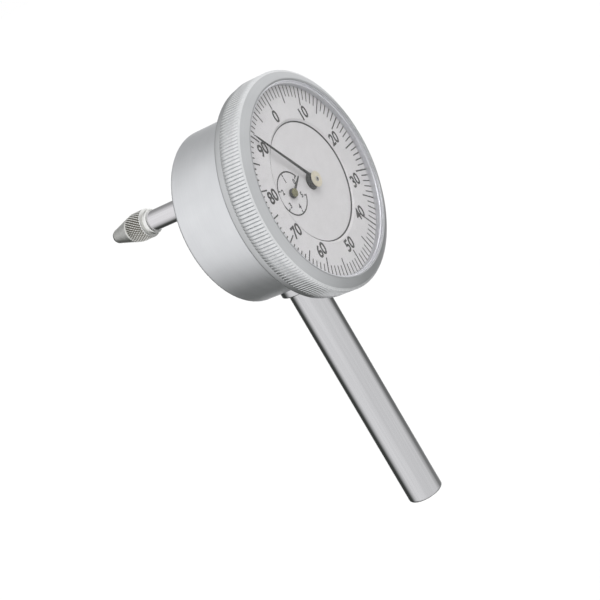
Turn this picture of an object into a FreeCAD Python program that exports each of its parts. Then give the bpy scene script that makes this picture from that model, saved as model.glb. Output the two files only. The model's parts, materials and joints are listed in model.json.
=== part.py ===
"""Back plunger dial indicator, built from its separate pieces, in millimetres.

The stem points down, the dial faces -Y and the plunger leaves the back along +Y.
The origin is on the stem's axis, at the lower face of the stem's collar.
Depth is measured from the face of the graduated dial ring towards the back, and
height from the dial's axis upwards.
"""

import FreeCAD
import Part
import math
import os

from FreeCAD import Vector

# Stem
stem_diameter = 6.35
stem_length = 42.1
stem_end_round = 0.5
stem_to_case_back = 5.35
collar_width = 1.025
collar_height = 1.3
collar_stand_out = 0.67
collar_edge = 0.3
collar_side_gap = 0.1
stem_screw_radius = 2.5
stem_screw_length = 2.8
stem_screw_chamfer = 0.3
stem_boss_wall = 1.5

# Case
case_radius = 15.03
case_back = 17.25
case_back_round = 0.6
case_wall = 2.03
flange_width = 1.9
flange_thickness = 2.5
plate_seat_width = 0.6
cover_seat_width = 0.8
cover_thickness = 1.15
cover_sink = 0.05
cover_chamfer = 0.2
lug_radius = 1.5
lug_inset = 1.0
lug_length = 4.5

# Bezel
bezel_wall = 1.7
ridge_count = 195
ridge_depth = 0.4
band_depth = 0.4
band_back_inset = 0.25
crest_height = 0.05
crest_inset = 0.3
bevel_fall = 1.0
sight_inset = 0.33
sight_edge = 0.2
shoulder_step = 0.3
shoulder_round = 0.45
bezel_lip_thickness = 1.15
bezel_turning_gap = 0.07
bezel_lip_gap = 0.1
friction_ring_thickness = 0.52
friction_ring_inset = 0.3

# Crystal and dial
crystal_thickness = 0.52
crystal_dome = 0.4
crystal_rim_stand_off = 0.93
crystal_bevel = 0.12
crystal_lip_depth = 0.05
tension_ring_width = 0.33
tension_ring_edge = 0.1
dial_thickness = 0.3
dial_ring_gap = 0.05
dial_case_gap = 0.1
inner_dial_radius = 10.15
hand_hole_radius = 1.45
counter_hole_radius = 0.6
dial_foot_circle = 9.0
dial_foot_radius = 0.5

# Movement plates
front_plate_thickness = 0.8
plate_side_gap = 0.2
bridge_thickness = 0.8
bridge_half_width = 1.35
pillar_radius = 0.9
upper_pillar_clearance = 0.3
lower_pillar_clearance = 0.39
inner_pillar_inset = 5.03

# Plunger
plunger_diameter = 3.62
plunger_travel = 5.2
plunger_back = 32.0
plunger_chamfer = 0.3
pin_to_plunger_front = 1.0
rack_sink = 0.293
rack_pitch = 0.625
rack_pinion_teeth = 32
rack_pinion_width = 2.0
rack_overrun = 2.2
bush_wall = 1.09
bush_inward = 1.45
bush_outward = 4.8
bush_step = 0.3
bush_nose_chamfer = 0.4
bush_flange_width = 0.8
bush_flange_thickness = 1.0
guide_pin_radius = 0.45
guide_pin_inside = 1.0
pin_in_to_bridge = 0.2
guide_left = 4.3
guide_thickness = 1.0
guide_half_height = 1.2
guide_front_wall = 0.85
guide_foot_reach = 2.2
guide_foot_thickness = 0.9
guide_foot_margin = 0.4
spring_to_guide = 1.0
spring_wire_radius = 0.11
spring_coil_radius = 0.6
spring_pitch = 0.4
spring_eye_gap = 0.06
spring_straight = 0.15
spring_anchor_to_cover = 1.7
pin_beyond_spring = 0.35

# Contact point
contact_collar_radius = 2.2
contact_collar_edge = 0.35
contact_collar_length = 0.8
contact_grip_radius = 2.57
contact_grip_edge = 0.15
contact_grip_length = 2.8
contact_length = 9.45
contact_ball_radius = 1.3
contact_ball_sink = 0.5
contact_screw_radius = 1.23
contact_screw_length = 4.5
contact_hole_spare = 0.5

# Crown sector and cross arbor
cross_arbor_depth = 11.0
cross_arbor_radius = 0.5
arbor_end = 0.2
crown_full_count = 120
crown_leaf_count = 6
crown_width = 0.6
leaf_overhang = 0.1
leaf_to_plate = 0.15
sector_web_left = 2.0
sector_web_thickness = 0.6
sector_hub_radius = 1.7
sector_hub_end = 0.5
sector_hub_to_pinion = 0.3
sector_rim_width = 1.1
sector_window_start = 3.6
sector_overrun = 5.5
right_cock_left = 4.0
left_cock_to_counter = 0.3
cock_thickness = 1.0
cock_eye_wall = 0.8
right_cock_foot_reach = 3.6
right_cock_half_height = 2.4
right_cock_foot_thickness = 0.9
left_cock_foot_reach = 1.5
left_cock_half_height = 1.2
left_cock_foot_thickness = 0.7

# Centre arbor, counter train and hands
centre_arbor_radius = 0.4
counter_arbor_radius = 0.3
counter_pinion_teeth = 10
counter_wheel_teeth = 60
counter_tip_share = 0.95
counter_wheel_to_case = 0.47
counter_height = 0.75
counter_wheel_thickness = 0.6
counter_pinion_overhang = 0.1
counter_wheel_rim = 1.1
counter_wheel_hub = 1.5
wheel_to_leaves = 0.2
wheel_to_hairspring = 0.9
hairspring_to_bridge = 0.6
hairspring_height = 0.6
hairspring_outer_radius = 2.5
hairspring_inner_radius = 0.75
hairspring_turns = 5
hairspring_strip = 0.07
collet_gap = 0.08
stud_radius = 0.42
hand_tip_gap = 1.23
hand_root_width = 0.45
hand_tip_width = 0.2
hand_to_crystal = 0.25
hand_thickness = 0.12
hand_boss_radius = 1.15
hand_eye_margin = 0.1
hand_cap_radius = 1.35
hand_cap_thickness = 0.14
hand_cap_edge = 0.06
hand_arbor_end = 0.1
hand_division = 90
counter_hand_reach = 3.7
counter_hand_root_width = 0.5
counter_hand_tip_width = 0.2
counter_hand_eye = 0.6
counter_hand_stand_off = 0.2
counter_hand_thickness = 0.1
counter_boss_radius = 0.8
boss_to_dial = 0.15

# Screws and clearances
screw_radius = 0.5
screw_head_radius = 0.95
screw_head_height = 0.55
screw_slot_width = 0.25
screw_slot_share = 0.45
plate_screw_sink = 0.4
plate_screw_length = 3.6
bridge_screw_length = 2.8
cover_screw_radius = 0.8
cover_screw_head_radius = 1.4
cover_screw_length = 3.4
cover_screw_slot_depth = 0.4
right_cock_screw_head = 0.75
left_cock_screw_head = 0.6
cock_screw_head_height = 0.5
screw_end_gap = 0.1
hole_spare = 0.2
running_gap = 0.04
plunger_gap = 0.03
seat_gap = 0.02
crystal_gap = 0.04
ring_running_gap = 0.03

# The middle of a quarter round lies this share of its radius inside the corner
round_middle = 1 - math.sqrt(0.5)

# Radii that follow, from the case outwards and inwards
flange_radius = case_radius + flange_width
bezel_radius = flange_radius + bezel_turning_gap + bezel_wall
sight_radius = flange_radius - sight_inset
crystal_radius = sight_radius - crystal_gap
cavity_radius = case_radius - case_wall
plate_recess_radius = cavity_radius + plate_seat_width
plate_radius = plate_recess_radius - plate_side_gap
cover_radius = cavity_radius + cover_seat_width
lug_circle = cavity_radius - lug_inset
hand_reach = crystal_radius - tension_ring_width - hand_tip_gap
plunger_radius = plunger_diameter / 2
bush_radius = plunger_radius + bush_wall
bush_flange_radius = bush_radius + bush_flange_width
stem_radius = stem_diameter / 2
collar_radius = stem_radius + collar_width

# Depths that follow, from the front towards the back
crystal_rim_back = -crystal_rim_stand_off
bezel_lip_edge = crystal_rim_back - crystal_thickness - crystal_lip_depth
bezel_front = bezel_lip_edge - crest_height
ridge_front = bezel_lip_edge + bevel_fall
hand_front = crystal_rim_back + hand_to_crystal
counter_hand_front = -counter_hand_stand_off
dial_step = dial_thickness + dial_ring_gap
case_front = dial_thickness + dial_case_gap
flange_back = case_front + flange_thickness
bezel_back_lip = flange_back + ring_running_gap + friction_ring_thickness
ridge_back = bezel_back_lip - band_back_inset
bezel_back = bezel_back_lip + bezel_lip_thickness
front_plate_front = dial_step + dial_thickness
front_plate_back = front_plate_front + front_plate_thickness
leaf_front = front_plate_back + leaf_to_plate
crown_mesh_depth = leaf_front + leaf_overhang + crown_width / 2
leaf_back = crown_mesh_depth + crown_width / 2 + leaf_overhang
counter_pinion_front = leaf_back + wheel_to_leaves
counter_wheel_front = counter_pinion_front + counter_pinion_overhang
hairspring_front = counter_wheel_front + counter_wheel_thickness + wheel_to_hairspring
bridge_front = hairspring_front + hairspring_height + hairspring_to_bridge
bridge_back = bridge_front + bridge_thickness
guide_pin_depth = bridge_front - pin_in_to_bridge + plunger_travel
plunger_front = guide_pin_depth - pin_to_plunger_front
cover_back = case_back - cover_sink
cover_front = cover_back - cover_thickness
spring_anchor_depth = cover_front - spring_anchor_to_cover
bush_front = cover_front - bush_inward
bush_back = cover_back + bush_outward
stem_depth = case_back - stem_to_case_back

# Heights and side places that follow
axis_z = case_radius + collar_stand_out
rack_pinion_pitch_radius = rack_pitch * rack_pinion_teeth / (2 * math.pi)
plunger_height = rack_pinion_pitch_radius + plunger_radius - rack_sink
spring_left = guide_left + spring_to_guide
guide_pin_reach = spring_left + pin_beyond_spring
right_cock_right = right_cock_left + cock_thickness
cock_eye_radius = cross_arbor_radius + cock_eye_wall

# The train: the sector turns the centre arbor once per millimetre, the arbor turns the counter
crown_radius = cross_arbor_depth - crown_mesh_depth
leaf_pitch_radius = crown_radius * crown_leaf_count / crown_full_count
counter_teeth_out = (counter_pinion_teeth + counter_wheel_teeth) / 2 + counter_wheel_teeth / 2
counter_module = (cavity_radius - counter_wheel_to_case) / (counter_teeth_out + counter_tip_share)
counter_distance = counter_module * (counter_pinion_teeth + counter_wheel_teeth) / 2
counter_wheel_tip = counter_module * (counter_wheel_teeth / 2 + counter_tip_share)
counter_x = -math.sqrt(counter_distance ** 2 - counter_height ** 2)
left_cock_foot_end = -counter_x - counter_arbor_radius - left_cock_to_counter
left_cock_left = left_cock_foot_end - left_cock_foot_reach
left_cock_right = left_cock_left - cock_thickness
sector_angle_per_travel = 1 / rack_pinion_pitch_radius

parts = {}


def spot(x, depth, height):
    """A point given by its place beside, behind and above the dial's centre."""
    return Vector(x, depth - stem_depth, height + axis_z)


def rod_y(radius, front, back, x=0.0, height=0.0):
    """A round rod parallel to the dial's axis."""
    return Part.makeCylinder(radius, back - front, spot(x, front, height), Vector(0, 1, 0))


def rod_x(radius, left, right, depth, height=0.0):
    """A round rod across the case."""
    return Part.makeCylinder(radius, right - left, spot(left, depth, height), Vector(1, 0, 0))


def rod_z(radius, low, high, depth, x=0.0):
    """A round rod parallel to the stem."""
    return Part.makeCylinder(radius, high - low, spot(x, depth, low), Vector(0, 0, 1))


def block(left, right, front, back, low, high):
    """A block between two planes each way."""
    return Part.makeBox(right - left, back - front, high - low, spot(left, front, low))


def closed_face(steps, place):
    """A face inside straight runs and arcs; an arc's step is a pair, its middle and its end."""
    edges = []
    here = steps[0]
    for step in list(steps[1:]) + [steps[0]]:
        if isinstance(step[0], tuple):
            middle, end = step
            edges.append(Part.Arc(place(*here), place(*middle), place(*end)).toShape())
            here = end
        elif step != here:
            edges.append(Part.LineSegment(place(*here), place(*step)).toShape())
            here = step
    return Part.Face(Part.Wire(edges))


def turned_y(steps, x=0.0, height=0.0):
    """A turned piece from its half section in radius and depth."""
    face = closed_face(steps, lambda radius, depth: spot(x + radius, depth, height))
    return face.revolve(spot(x, 0, height), Vector(0, 1, 0), 360)


def plate_y(points, front, thickness):
    """A flat plate parallel to the dial from its outline in x and height."""
    face = closed_face(points, lambda x, height: spot(x, front, height))
    return face.extrude(Vector(0, thickness, 0))


def plate_x(points, left, thickness):
    """A flat plate parallel to the plunger and the stem, from its outline in depth and height."""
    face = closed_face(points, lambda depth, height: spot(left, depth, height))
    return face.extrude(Vector(thickness, 0, 0))


def polar(radius, angle):
    """The point at a radius and an angle in degrees, as a pair."""
    turn = math.radians(angle)
    return (radius * math.cos(turn), radius * math.sin(turn))


def clock(radius, division):
    """The point of the dial at a radius and a division out of 100, clockwise from the top."""
    return polar(radius, 90 - 3.6 * division)


def toothed_outline(teeth, module, first_tooth, thinning=0.88):
    """The outline of a spur gear about (0, 0), with one tooth's middle at the given angle."""
    pitch_radius = module * teeth / 2
    tip = pitch_radius + module * 0.95
    root = pitch_radius - module * 1.2
    half_tooth_angle = 90 / teeth * thinning
    root_half = half_tooth_angle * 1.45
    tip_half = half_tooth_angle * 0.5
    points = []
    for tooth in range(teeth):
        middle = first_tooth + 360 * tooth / teeth
        points.append(polar(root, middle - root_half))
        points.append(polar(tip, middle - tip_half))
        points.append(polar(tip, middle + tip_half))
        points.append(polar(root, middle + root_half))
    return points


def moved(points, x, height):
    """An outline moved sideways and up."""
    return [(px + x, ph + height) for px, ph in points]


def slotted_screw(x, height, seat, towards, head, head_height, shank, length):
    """A cheese-head screw: its head stands on the seat, its shank goes into it."""
    slot_floor = head_height * (1 - screw_slot_share)
    if towards > 0:
        body = rod_y(head, seat, seat + head_height, x, height)
        thread = rod_y(shank, seat - length, seat, x, height)
        cut_front = seat + slot_floor
        cut_back = seat + 2 * head_height
    else:
        body = rod_y(head, seat - head_height, seat, x, height)
        thread = rod_y(shank, seat, seat + length, x, height)
        cut_front = seat - 2 * head_height
        cut_back = seat - slot_floor
    low = height - screw_slot_width / 2
    high = height + screw_slot_width / 2
    slot = block(x - 2 * head, x + 2 * head, cut_front, cut_back, low, high)
    return body.fuse(thread).cut(slot)


def capsule(a, b, half_width, front, thickness):
    """A plate with round ends about two points."""
    ax, ah = a
    bx, bh = b
    span = math.hypot(bx - ax, bh - ah)
    sx = (bh - ah) / span * half_width
    sh = -(bx - ax) / span * half_width
    corners = [(ax + sx, ah + sh), (bx + sx, bh + sh), (bx - sx, bh - sh), (ax - sx, ah - sh)]
    bar = plate_y(corners, front, thickness)
    ends = [rod_y(half_width, front, front + thickness, px, ph) for px, ph in (a, b)]
    return bar.multiFuse(ends)


def beside_counter(clearance, angle):
    """The spot of a pillar that clears the counter's wheel, as seen from that wheel's arbor."""
    x, height = polar(counter_wheel_tip + pillar_radius + clearance, angle)
    return (counter_x + x, counter_height + height)


# Where the plates' screws, the cover's screws, the pillars and the brackets' screws stand
plate_screw_spots = [clock(lug_circle, division) for division in (25, 175 / 3, 275 / 3)]
cover_screw_spots = [polar(lug_circle, 45 + 90 * quarter) for quarter in range(4)]
dial_foot_spots = [clock(dial_foot_circle, division) for division in (0, 50)]
pillar_spots = [
    beside_counter(upper_pillar_clearance, 104.7),
    beside_counter(lower_pillar_clearance, 248),
    polar(cavity_radius - inner_pillar_inset, 252.5),
]
right_cock_screw_x = right_cock_right + right_cock_foot_reach - 1.5 * screw_head_radius
right_cock_screw_rise = right_cock_half_height - screw_head_radius
right_cock_screw_spots = [(right_cock_screw_x, side * right_cock_screw_rise) for side in (-1, 1)]
left_cock_screw_side = cock_thickness / 2 + left_cock_foot_reach / 2
left_cock_middle = (left_cock_left + left_cock_right) / 2
left_cock_screw_spots = [(-left_cock_middle + side * left_cock_screw_side, 0) for side in (-1, 1)]


def make_case():
    """The cup that everything is built into, with its flange, lugs and stem boss."""
    seat = front_plate_back
    corner = case_back_round * round_middle
    ring = turned_y([
        (plate_recess_radius, case_front),
        (flange_radius, case_front),
        (flange_radius, flange_back),
        (case_radius, flange_back),
        (case_radius, case_back - case_back_round),
        ((case_radius - corner, case_back - corner), (case_radius - case_back_round, case_back)),
        (cover_radius, case_back),
        (cover_radius, cover_front),
        (cavity_radius, cover_front),
        (cavity_radius, seat),
        (plate_recess_radius, seat),
    ])
    front_lugs = [rod_y(lug_radius, seat, seat + lug_length, x, h) for x, h in plate_screw_spots]
    back_lugs = [rod_y(lug_radius, cover_front - lug_length, cover_front, x, h) for x, h in cover_screw_spots]
    boss_low = -(cavity_radius + case_wall / 2)
    boss_top = collar_height - axis_z + stem_screw_length + hole_spare
    boss = rod_z(stem_screw_radius + stem_boss_wall, boss_low, boss_top, stem_depth)
    body = ring.multiFuse(front_lugs + back_lugs + [boss])
    plate_screw_end = front_plate_front + plate_screw_sink + plate_screw_length
    cover_screw_end = cover_front - cover_screw_length
    cuts = [rod_y(screw_radius + seat_gap, front_plate_front, plate_screw_end + hole_spare, x, h)
            for x, h in plate_screw_spots]
    cuts += [rod_y(cover_screw_radius + seat_gap, cover_screw_end - hole_spare, case_back, x, h)
             for x, h in cover_screw_spots]
    cuts.append(rod_y(cover_radius, cover_front, case_back))
    outside = -case_radius - collar_height
    cuts.append(rod_z(collar_radius + collar_side_gap, outside, collar_height - axis_z, stem_depth))
    cuts.append(rod_z(stem_screw_radius + seat_gap, outside, boss_top + hole_spare, stem_depth))
    return body.cut(cuts)


def make_stem():
    """The clamping stem with its collar and the threaded end that enters the case."""
    end_corner = stem_end_round * round_middle
    collar_corner = collar_edge * round_middle
    top = collar_height + stem_screw_length
    steps = [
        (0, -stem_length),
        (stem_radius - stem_end_round, -stem_length),
        ((stem_radius - end_corner, -stem_length + end_corner), (stem_radius, -stem_length + stem_end_round)),
        (stem_radius, 0),
        (collar_radius - collar_edge, 0),
        ((collar_radius - collar_corner, collar_corner), (collar_radius, collar_edge)),
        (collar_radius, collar_height),
        (stem_screw_radius, collar_height),
        (stem_screw_radius, top - stem_screw_chamfer),
        (stem_screw_radius - stem_screw_chamfer, top),
        (0, top),
    ]
    face = closed_face(steps, lambda r, z: Vector(r, 0, z))
    return face.revolve(Vector(0, 0, 0), Vector(0, 0, 1), 360)


def make_back_cover():
    """The plate that closes the back and carries the plunger's bush."""
    rim = cover_radius - seat_gap
    plate = turned_y([
        (0, cover_front),
        (rim, cover_front),
        (rim, cover_back - cover_chamfer),
        (rim - cover_chamfer, cover_back),
        (0, cover_back),
    ])
    beyond = cover_back + cover_thickness
    cuts = [rod_y(bush_radius + seat_gap, cover_front, cover_back, 0, plunger_height)]
    sink = cover_screw_head_radius - cover_screw_radius
    for x, h in cover_screw_spots:
        cuts.append(rod_y(cover_screw_radius + seat_gap, cover_front, cover_back, x, h))
        cuts.append(turned_y([
            (0, cover_back - sink),
            (cover_screw_radius + seat_gap, cover_back - sink),
            (cover_screw_head_radius + seat_gap, cover_back),
            (cover_screw_head_radius + seat_gap, beyond),
            (0, beyond),
        ], x, h))
    return plate.cut(cuts)


def make_cover_screws():
    """The countersunk screws of the back cover."""
    sink = cover_screw_head_radius - cover_screw_radius
    end = cover_front - cover_screw_length
    reach = 2 * cover_screw_head_radius
    half_slot = screw_slot_width / 2
    screws = []
    for x, h in cover_screw_spots:
        body = turned_y([
            (0, end),
            (cover_screw_radius, end),
            (cover_screw_radius, cover_back - sink),
            (cover_screw_head_radius, cover_back),
            (0, cover_back),
        ], x, h)
        slot_floor = cover_back - cover_screw_slot_depth
        slot = block(x - reach, x + reach, slot_floor, case_back, h - half_slot, h + half_slot)
        screws.append(body.cut(slot))
    return Part.makeCompound(screws)


def make_guide_bush():
    """The long bush that the plunger runs in, pressed into the back cover."""
    bore = plunger_radius + plunger_gap
    nose = bush_radius - bush_step
    flange_back_face = cover_back + bush_flange_thickness
    return turned_y([
        (bore, bush_front),
        (bush_radius, bush_front),
        (bush_radius, cover_back),
        (bush_flange_radius, cover_back),
        (bush_flange_radius, flange_back_face - bush_step),
        (bush_flange_radius - bush_step, flange_back_face),
        (nose, flange_back_face),
        (nose, bush_back - bush_nose_chamfer),
        (nose - bush_nose_chamfer, bush_back),
        (bore, bush_back),
    ], 0, plunger_height)


def make_spindle():
    """The plunger with its rack, the hole for the guide pin and the contact point's thread hole."""
    hole_radius = contact_screw_radius + seat_gap
    hole_floor = plunger_back - contact_screw_length - contact_hole_spare
    body = turned_y([
        (0, plunger_front),
        (plunger_radius - plunger_chamfer, plunger_front),
        (plunger_radius, plunger_front + plunger_chamfer),
        (plunger_radius, plunger_back),
        (hole_radius, plunger_back),
        (hole_radius, hole_floor),
        (0, hole_floor),
    ], 0, plunger_height)
    module = rack_pitch / math.pi
    tip = rack_pinion_pitch_radius - module * 0.95
    root = rack_pinion_pitch_radius + module * 1.2
    rack_end = cross_arbor_depth + plunger_travel + rack_overrun
    below = plunger_height - 2 * plunger_radius
    left = -plunger_radius
    cuts = [block(left, plunger_radius, plunger_front, rack_end, below, tip)]
    spaces_ahead = math.floor((cross_arbor_depth - plunger_front) / rack_pitch)
    spaces_behind = math.floor((rack_end - cross_arbor_depth) / rack_pitch - 0.5)
    wide = rack_pitch * 0.42
    narrow = rack_pitch * 0.16
    start = tip - module * 0.1
    space_outline = [(-wide, start), (-narrow, root), (narrow, root), (wide, start)]
    for space in range(-spaces_ahead, spaces_behind + 1):
        outline = moved(space_outline, cross_arbor_depth + space * rack_pitch, 0)
        cuts.append(plate_x(outline, left, plunger_diameter))
    pin_hole = guide_pin_radius + seat_gap
    cuts.append(rod_x(pin_hole, left, guide_pin_inside + screw_end_gap, guide_pin_depth, plunger_height))
    return body.cut(cuts)


def make_guide_pin():
    """The cross pin that keeps the plunger from turning and carries the spring."""
    return rod_x(guide_pin_radius, -guide_pin_reach, guide_pin_inside, guide_pin_depth, plunger_height)


def make_plunger_guide():
    """The slotted plate that the guide pin runs in; the slot's ends stop the plunger."""
    left = -guide_left
    right = left + guide_thickness
    slot_front = guide_pin_depth - plunger_travel
    front = slot_front - guide_pin_radius - guide_front_wall
    low = plunger_height - guide_half_height
    high = plunger_height + guide_half_height
    slot_radius = guide_pin_radius + running_gap
    plate = block(left, right, front, cover_front, low, high)
    foot = block(left - guide_foot_reach, right, cover_front - guide_foot_thickness, cover_front,
                 low - guide_foot_margin, high + guide_foot_margin)
    slot = block(left, right, slot_front, guide_pin_depth, plunger_height - slot_radius,
                 plunger_height + slot_radius)
    ends = [rod_x(slot_radius, left, right, depth, plunger_height) for depth in (slot_front, guide_pin_depth)]
    clear_of_bush = rod_y(bush_radius + running_gap, bush_front - hole_spare, cover_front, 0, plunger_height)
    anchor = rod_x(guide_pin_radius + seat_gap, left, right, spring_anchor_depth, plunger_height)
    return plate.fuse(foot).cut([slot, clear_of_bush, anchor] + ends)


def make_spring_anchor():
    """The fixed pin at the spring's back end."""
    return rod_x(guide_pin_radius, -guide_pin_reach, -guide_left + guide_thickness,
                 spring_anchor_depth, plunger_height)


def bent_wire(path, radius, sides=6):
    """A wire with flat sides along a path, its section carried round each bend without twist."""
    rings = []
    across = None
    for place, point in enumerate(path):
        before = path[max(place - 1, 0)]
        after = path[min(place + 1, len(path) - 1)]
        along = (after - before).normalize()
        if across is None:
            across = along.cross(Vector(1, 0, 0)).normalize()
        across = (across - along * across.dot(along)).normalize()
        upward = along.cross(across)
        rings.append([point + across * (radius * math.cos(2 * math.pi * side / sides))
                      + upward * (radius * math.sin(2 * math.pi * side / sides)) for side in range(sides)])
    faces = []
    for ring, following in zip(rings, rings[1:]):
        for side in range(sides):
            other = (side + 1) % sides
            near = [ring[side], ring[other], following[other], ring[side]]
            far = [ring[side], following[other], following[side], ring[side]]
            faces.append(Part.Face(Part.makePolygon(near)))
            faces.append(Part.Face(Part.makePolygon(far)))
    for ring in (rings[0], rings[-1]):
        faces.append(Part.Face(Part.makePolygon(ring + [ring[0]])))
    shell = Part.makeShell(faces)
    shell.sewShape()
    solid = Part.makeSolid(shell)
    if solid.Volume < 0:
        solid.reverse()
    return solid


def make_return_spring():
    """The tension spring that pushes the plunger out, with an eye round each pin."""
    eye = guide_pin_radius + spring_wire_radius + spring_eye_gap
    coil_front = guide_pin_depth + eye + spring_straight
    coil_back = spring_anchor_depth - eye - spring_straight
    turns = max(1, round((coil_back - coil_front) / spring_pitch))
    steps = turns * 12
    path = []
    for step in range(11):
        depth, height = polar(eye, 60 + 30 * step)
        path.append(spot(-spring_left, guide_pin_depth + depth, plunger_height + height))
    for step in range(steps + 1):
        x, height = polar(spring_coil_radius, 90 + 360 * turns * step / steps)
        depth = coil_front + (coil_back - coil_front) * step / steps
        path.append(spot(-spring_left + x, depth, plunger_height + height))
    for step in range(11):
        depth, height = polar(eye, 180 + 30 * step)
        path.append(spot(-spring_left, spring_anchor_depth + depth, plunger_height + height))
    return bent_wire(path, spring_wire_radius)


def make_contact_point():
    """The screwed-in contact point with its grip band and cone."""
    back = plunger_back
    seat = back + contact_length - contact_ball_radius + contact_ball_sink
    seat_radius = math.sqrt(contact_ball_radius ** 2 - contact_ball_sink ** 2)
    grip = contact_grip_radius
    grip_start = back + contact_collar_length + 2 * contact_grip_edge
    grip_end = grip_start + contact_grip_length
    return turned_y([
        (0, back - contact_screw_length),
        (contact_screw_radius, back - contact_screw_length),
        (contact_screw_radius, back),
        (contact_collar_radius - contact_collar_edge, back),
        (contact_collar_radius, back + contact_collar_edge),
        (contact_collar_radius, back + contact_collar_length),
        (grip - contact_grip_edge, grip_start - contact_grip_edge),
        (grip, grip_start),
        (grip, grip_end - contact_grip_edge),
        (grip - contact_grip_edge, grip_end),
        (seat_radius, seat),
        (0, seat),
    ], 0, plunger_height)


def make_contact_ball():
    """The hard ball end set into the contact point's cone."""
    middle = plunger_back + contact_length - contact_ball_radius
    seat = middle + contact_ball_sink
    ball = Part.makeSphere(contact_ball_radius, spot(0, middle, plunger_height))
    return ball.cut(rod_y(2 * contact_ball_radius, middle - 2 * contact_ball_radius, seat, 0, plunger_height))


def make_front_plate():
    """The plate behind the dial that carries the whole movement."""
    front = front_plate_front
    back = front_plate_back
    plate = rod_y(plate_radius, front, back)
    cuts = [rod_y(centre_arbor_radius + running_gap, front, back)]
    cuts.append(rod_y(counter_arbor_radius + running_gap, front, back, counter_x, counter_height))
    for x, h in plate_screw_spots + pillar_spots + right_cock_screw_spots:
        cuts.append(rod_y(screw_radius + seat_gap, front, back, x, h))
    for x, h in plate_screw_spots:
        cuts.append(rod_y(screw_head_radius + running_gap, front, front + plate_screw_sink, x, h))
    for x, h in dial_foot_spots:
        cuts.append(rod_y(dial_foot_radius + seat_gap, front, back, x, h))
    return plate.cut(cuts)


def make_plate_screws():
    """The three screws that hold the movement in the case."""
    seat = front_plate_front + plate_screw_sink
    head_height = plate_screw_sink - seat_gap
    return Part.makeCompound([
        slotted_screw(x, h, seat, -1, screw_head_radius, head_height, screw_radius, plate_screw_length)
        for x, h in plate_screw_spots])


def make_pillars():
    """The pillars between the front plate and the bridge."""
    hole_front = bridge_back - bridge_screw_length - hole_spare
    pillars = []
    for x, h in pillar_spots:
        pillar = rod_y(pillar_radius, front_plate_back, bridge_front, x, h)
        foot = rod_y(screw_radius, front_plate_front + screw_end_gap, front_plate_back, x, h)
        hole = rod_y(screw_radius + seat_gap, hole_front, bridge_front, x, h)
        pillars.append(pillar.fuse(foot).cut(hole))
    return Part.makeCompound(pillars)


def make_bridge():
    """The open bridge that holds the back pivots of the two hand arbors."""
    counter_spot = (counter_x, counter_height)
    centre_spot = (0.0, 0.0)
    upper, lower, inner = pillar_spots
    links = [(upper, counter_spot), (counter_spot, lower), (counter_spot, centre_spot),
             (centre_spot, inner), (inner, lower)]
    arms = [capsule(a, b, bridge_half_width, bridge_front, bridge_thickness) for a, b in links]
    body = arms[0].multiFuse(arms[1:])
    holes = [(centre_arbor_radius + running_gap, 0, 0)]
    holes.append((counter_arbor_radius + running_gap, counter_x, counter_height))
    holes += [(screw_radius + seat_gap, x, h) for x, h in pillar_spots + left_cock_screw_spots]
    cuts = [rod_y(radius, bridge_front, bridge_back, x, h) for radius, x, h in holes]
    return body.cut(cuts)


def make_bridge_screws():
    """The screws that hold the bridge on its pillars."""
    return Part.makeCompound([
        slotted_screw(x, h, bridge_back, 1, screw_head_radius, screw_head_height, screw_radius,
                      bridge_screw_length)
        for x, h in pillar_spots])


def cock(left, foot_left, foot_right, seat, foot_thickness, half_height, screw_spots):
    """A bracket with a foot on a plate and an upright that holds one end of the cross arbor."""
    foot = block(foot_left, foot_right, seat, seat + foot_thickness, -half_height, half_height)
    upright = plate_x([
        (seat, -half_height),
        (cross_arbor_depth, -cock_eye_radius),
        ((cross_arbor_depth + cock_eye_radius, 0), (cross_arbor_depth, cock_eye_radius)),
        (seat, half_height),
    ], left, cock_thickness)
    cuts = [rod_x(cross_arbor_radius + running_gap, left, left + cock_thickness, cross_arbor_depth)]
    cuts += [rod_y(screw_radius + seat_gap, seat, seat + foot_thickness, x, h) for x, h in screw_spots]
    return foot.fuse(upright).cut(cuts)


def make_right_cock():
    """The bracket on the front plate that holds the cross arbor's right pivot."""
    return cock(right_cock_left, right_cock_left, right_cock_right + right_cock_foot_reach, front_plate_back,
                right_cock_foot_thickness, right_cock_half_height, right_cock_screw_spots)


def make_left_cock():
    """The bracket on the bridge that holds the cross arbor's left pivot."""
    foot_right = -left_cock_right + left_cock_foot_reach
    return cock(-left_cock_left, -left_cock_foot_end, foot_right, bridge_back, left_cock_foot_thickness,
                left_cock_half_height, left_cock_screw_spots)


def make_cock_screws():
    """The screws that hold both brackets of the cross arbor."""
    right_seat = front_plate_back + right_cock_foot_thickness
    right_length = right_cock_foot_thickness + front_plate_thickness - screw_end_gap
    left_seat = bridge_back + left_cock_foot_thickness
    left_length = left_cock_foot_thickness + bridge_thickness - screw_end_gap
    screws = [slotted_screw(x, h, right_seat, 1, right_cock_screw_head, cock_screw_head_height,
                            screw_radius, right_length) for x, h in right_cock_screw_spots]
    screws += [slotted_screw(x, h, left_seat, 1, left_cock_screw_head, cock_screw_head_height,
                             screw_radius, left_length) for x, h in left_cock_screw_spots]
    return Part.makeCompound(screws)


def make_inner_dial():
    """The fixed inner dial, a step below the graduated ring, with two feet in the front plate."""
    back = dial_step + dial_thickness
    plate = rod_y(plate_radius, dial_step, back)
    foot_back = back + front_plate_thickness - screw_end_gap
    feet = [rod_y(dial_foot_radius, back, foot_back, x, h) for x, h in dial_foot_spots]
    hand_hole = rod_y(hand_hole_radius, dial_step, back)
    counter_hole = rod_y(counter_hole_radius, dial_step, back, counter_x, counter_height)
    return plate.multiFuse(feet).cut([hand_hole, counter_hole])


def make_dial_ring():
    """The graduated ring that turns with the bezel."""
    return rod_y(flange_radius, 0, dial_thickness).cut(rod_y(inner_dial_radius, 0, dial_thickness))


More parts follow.
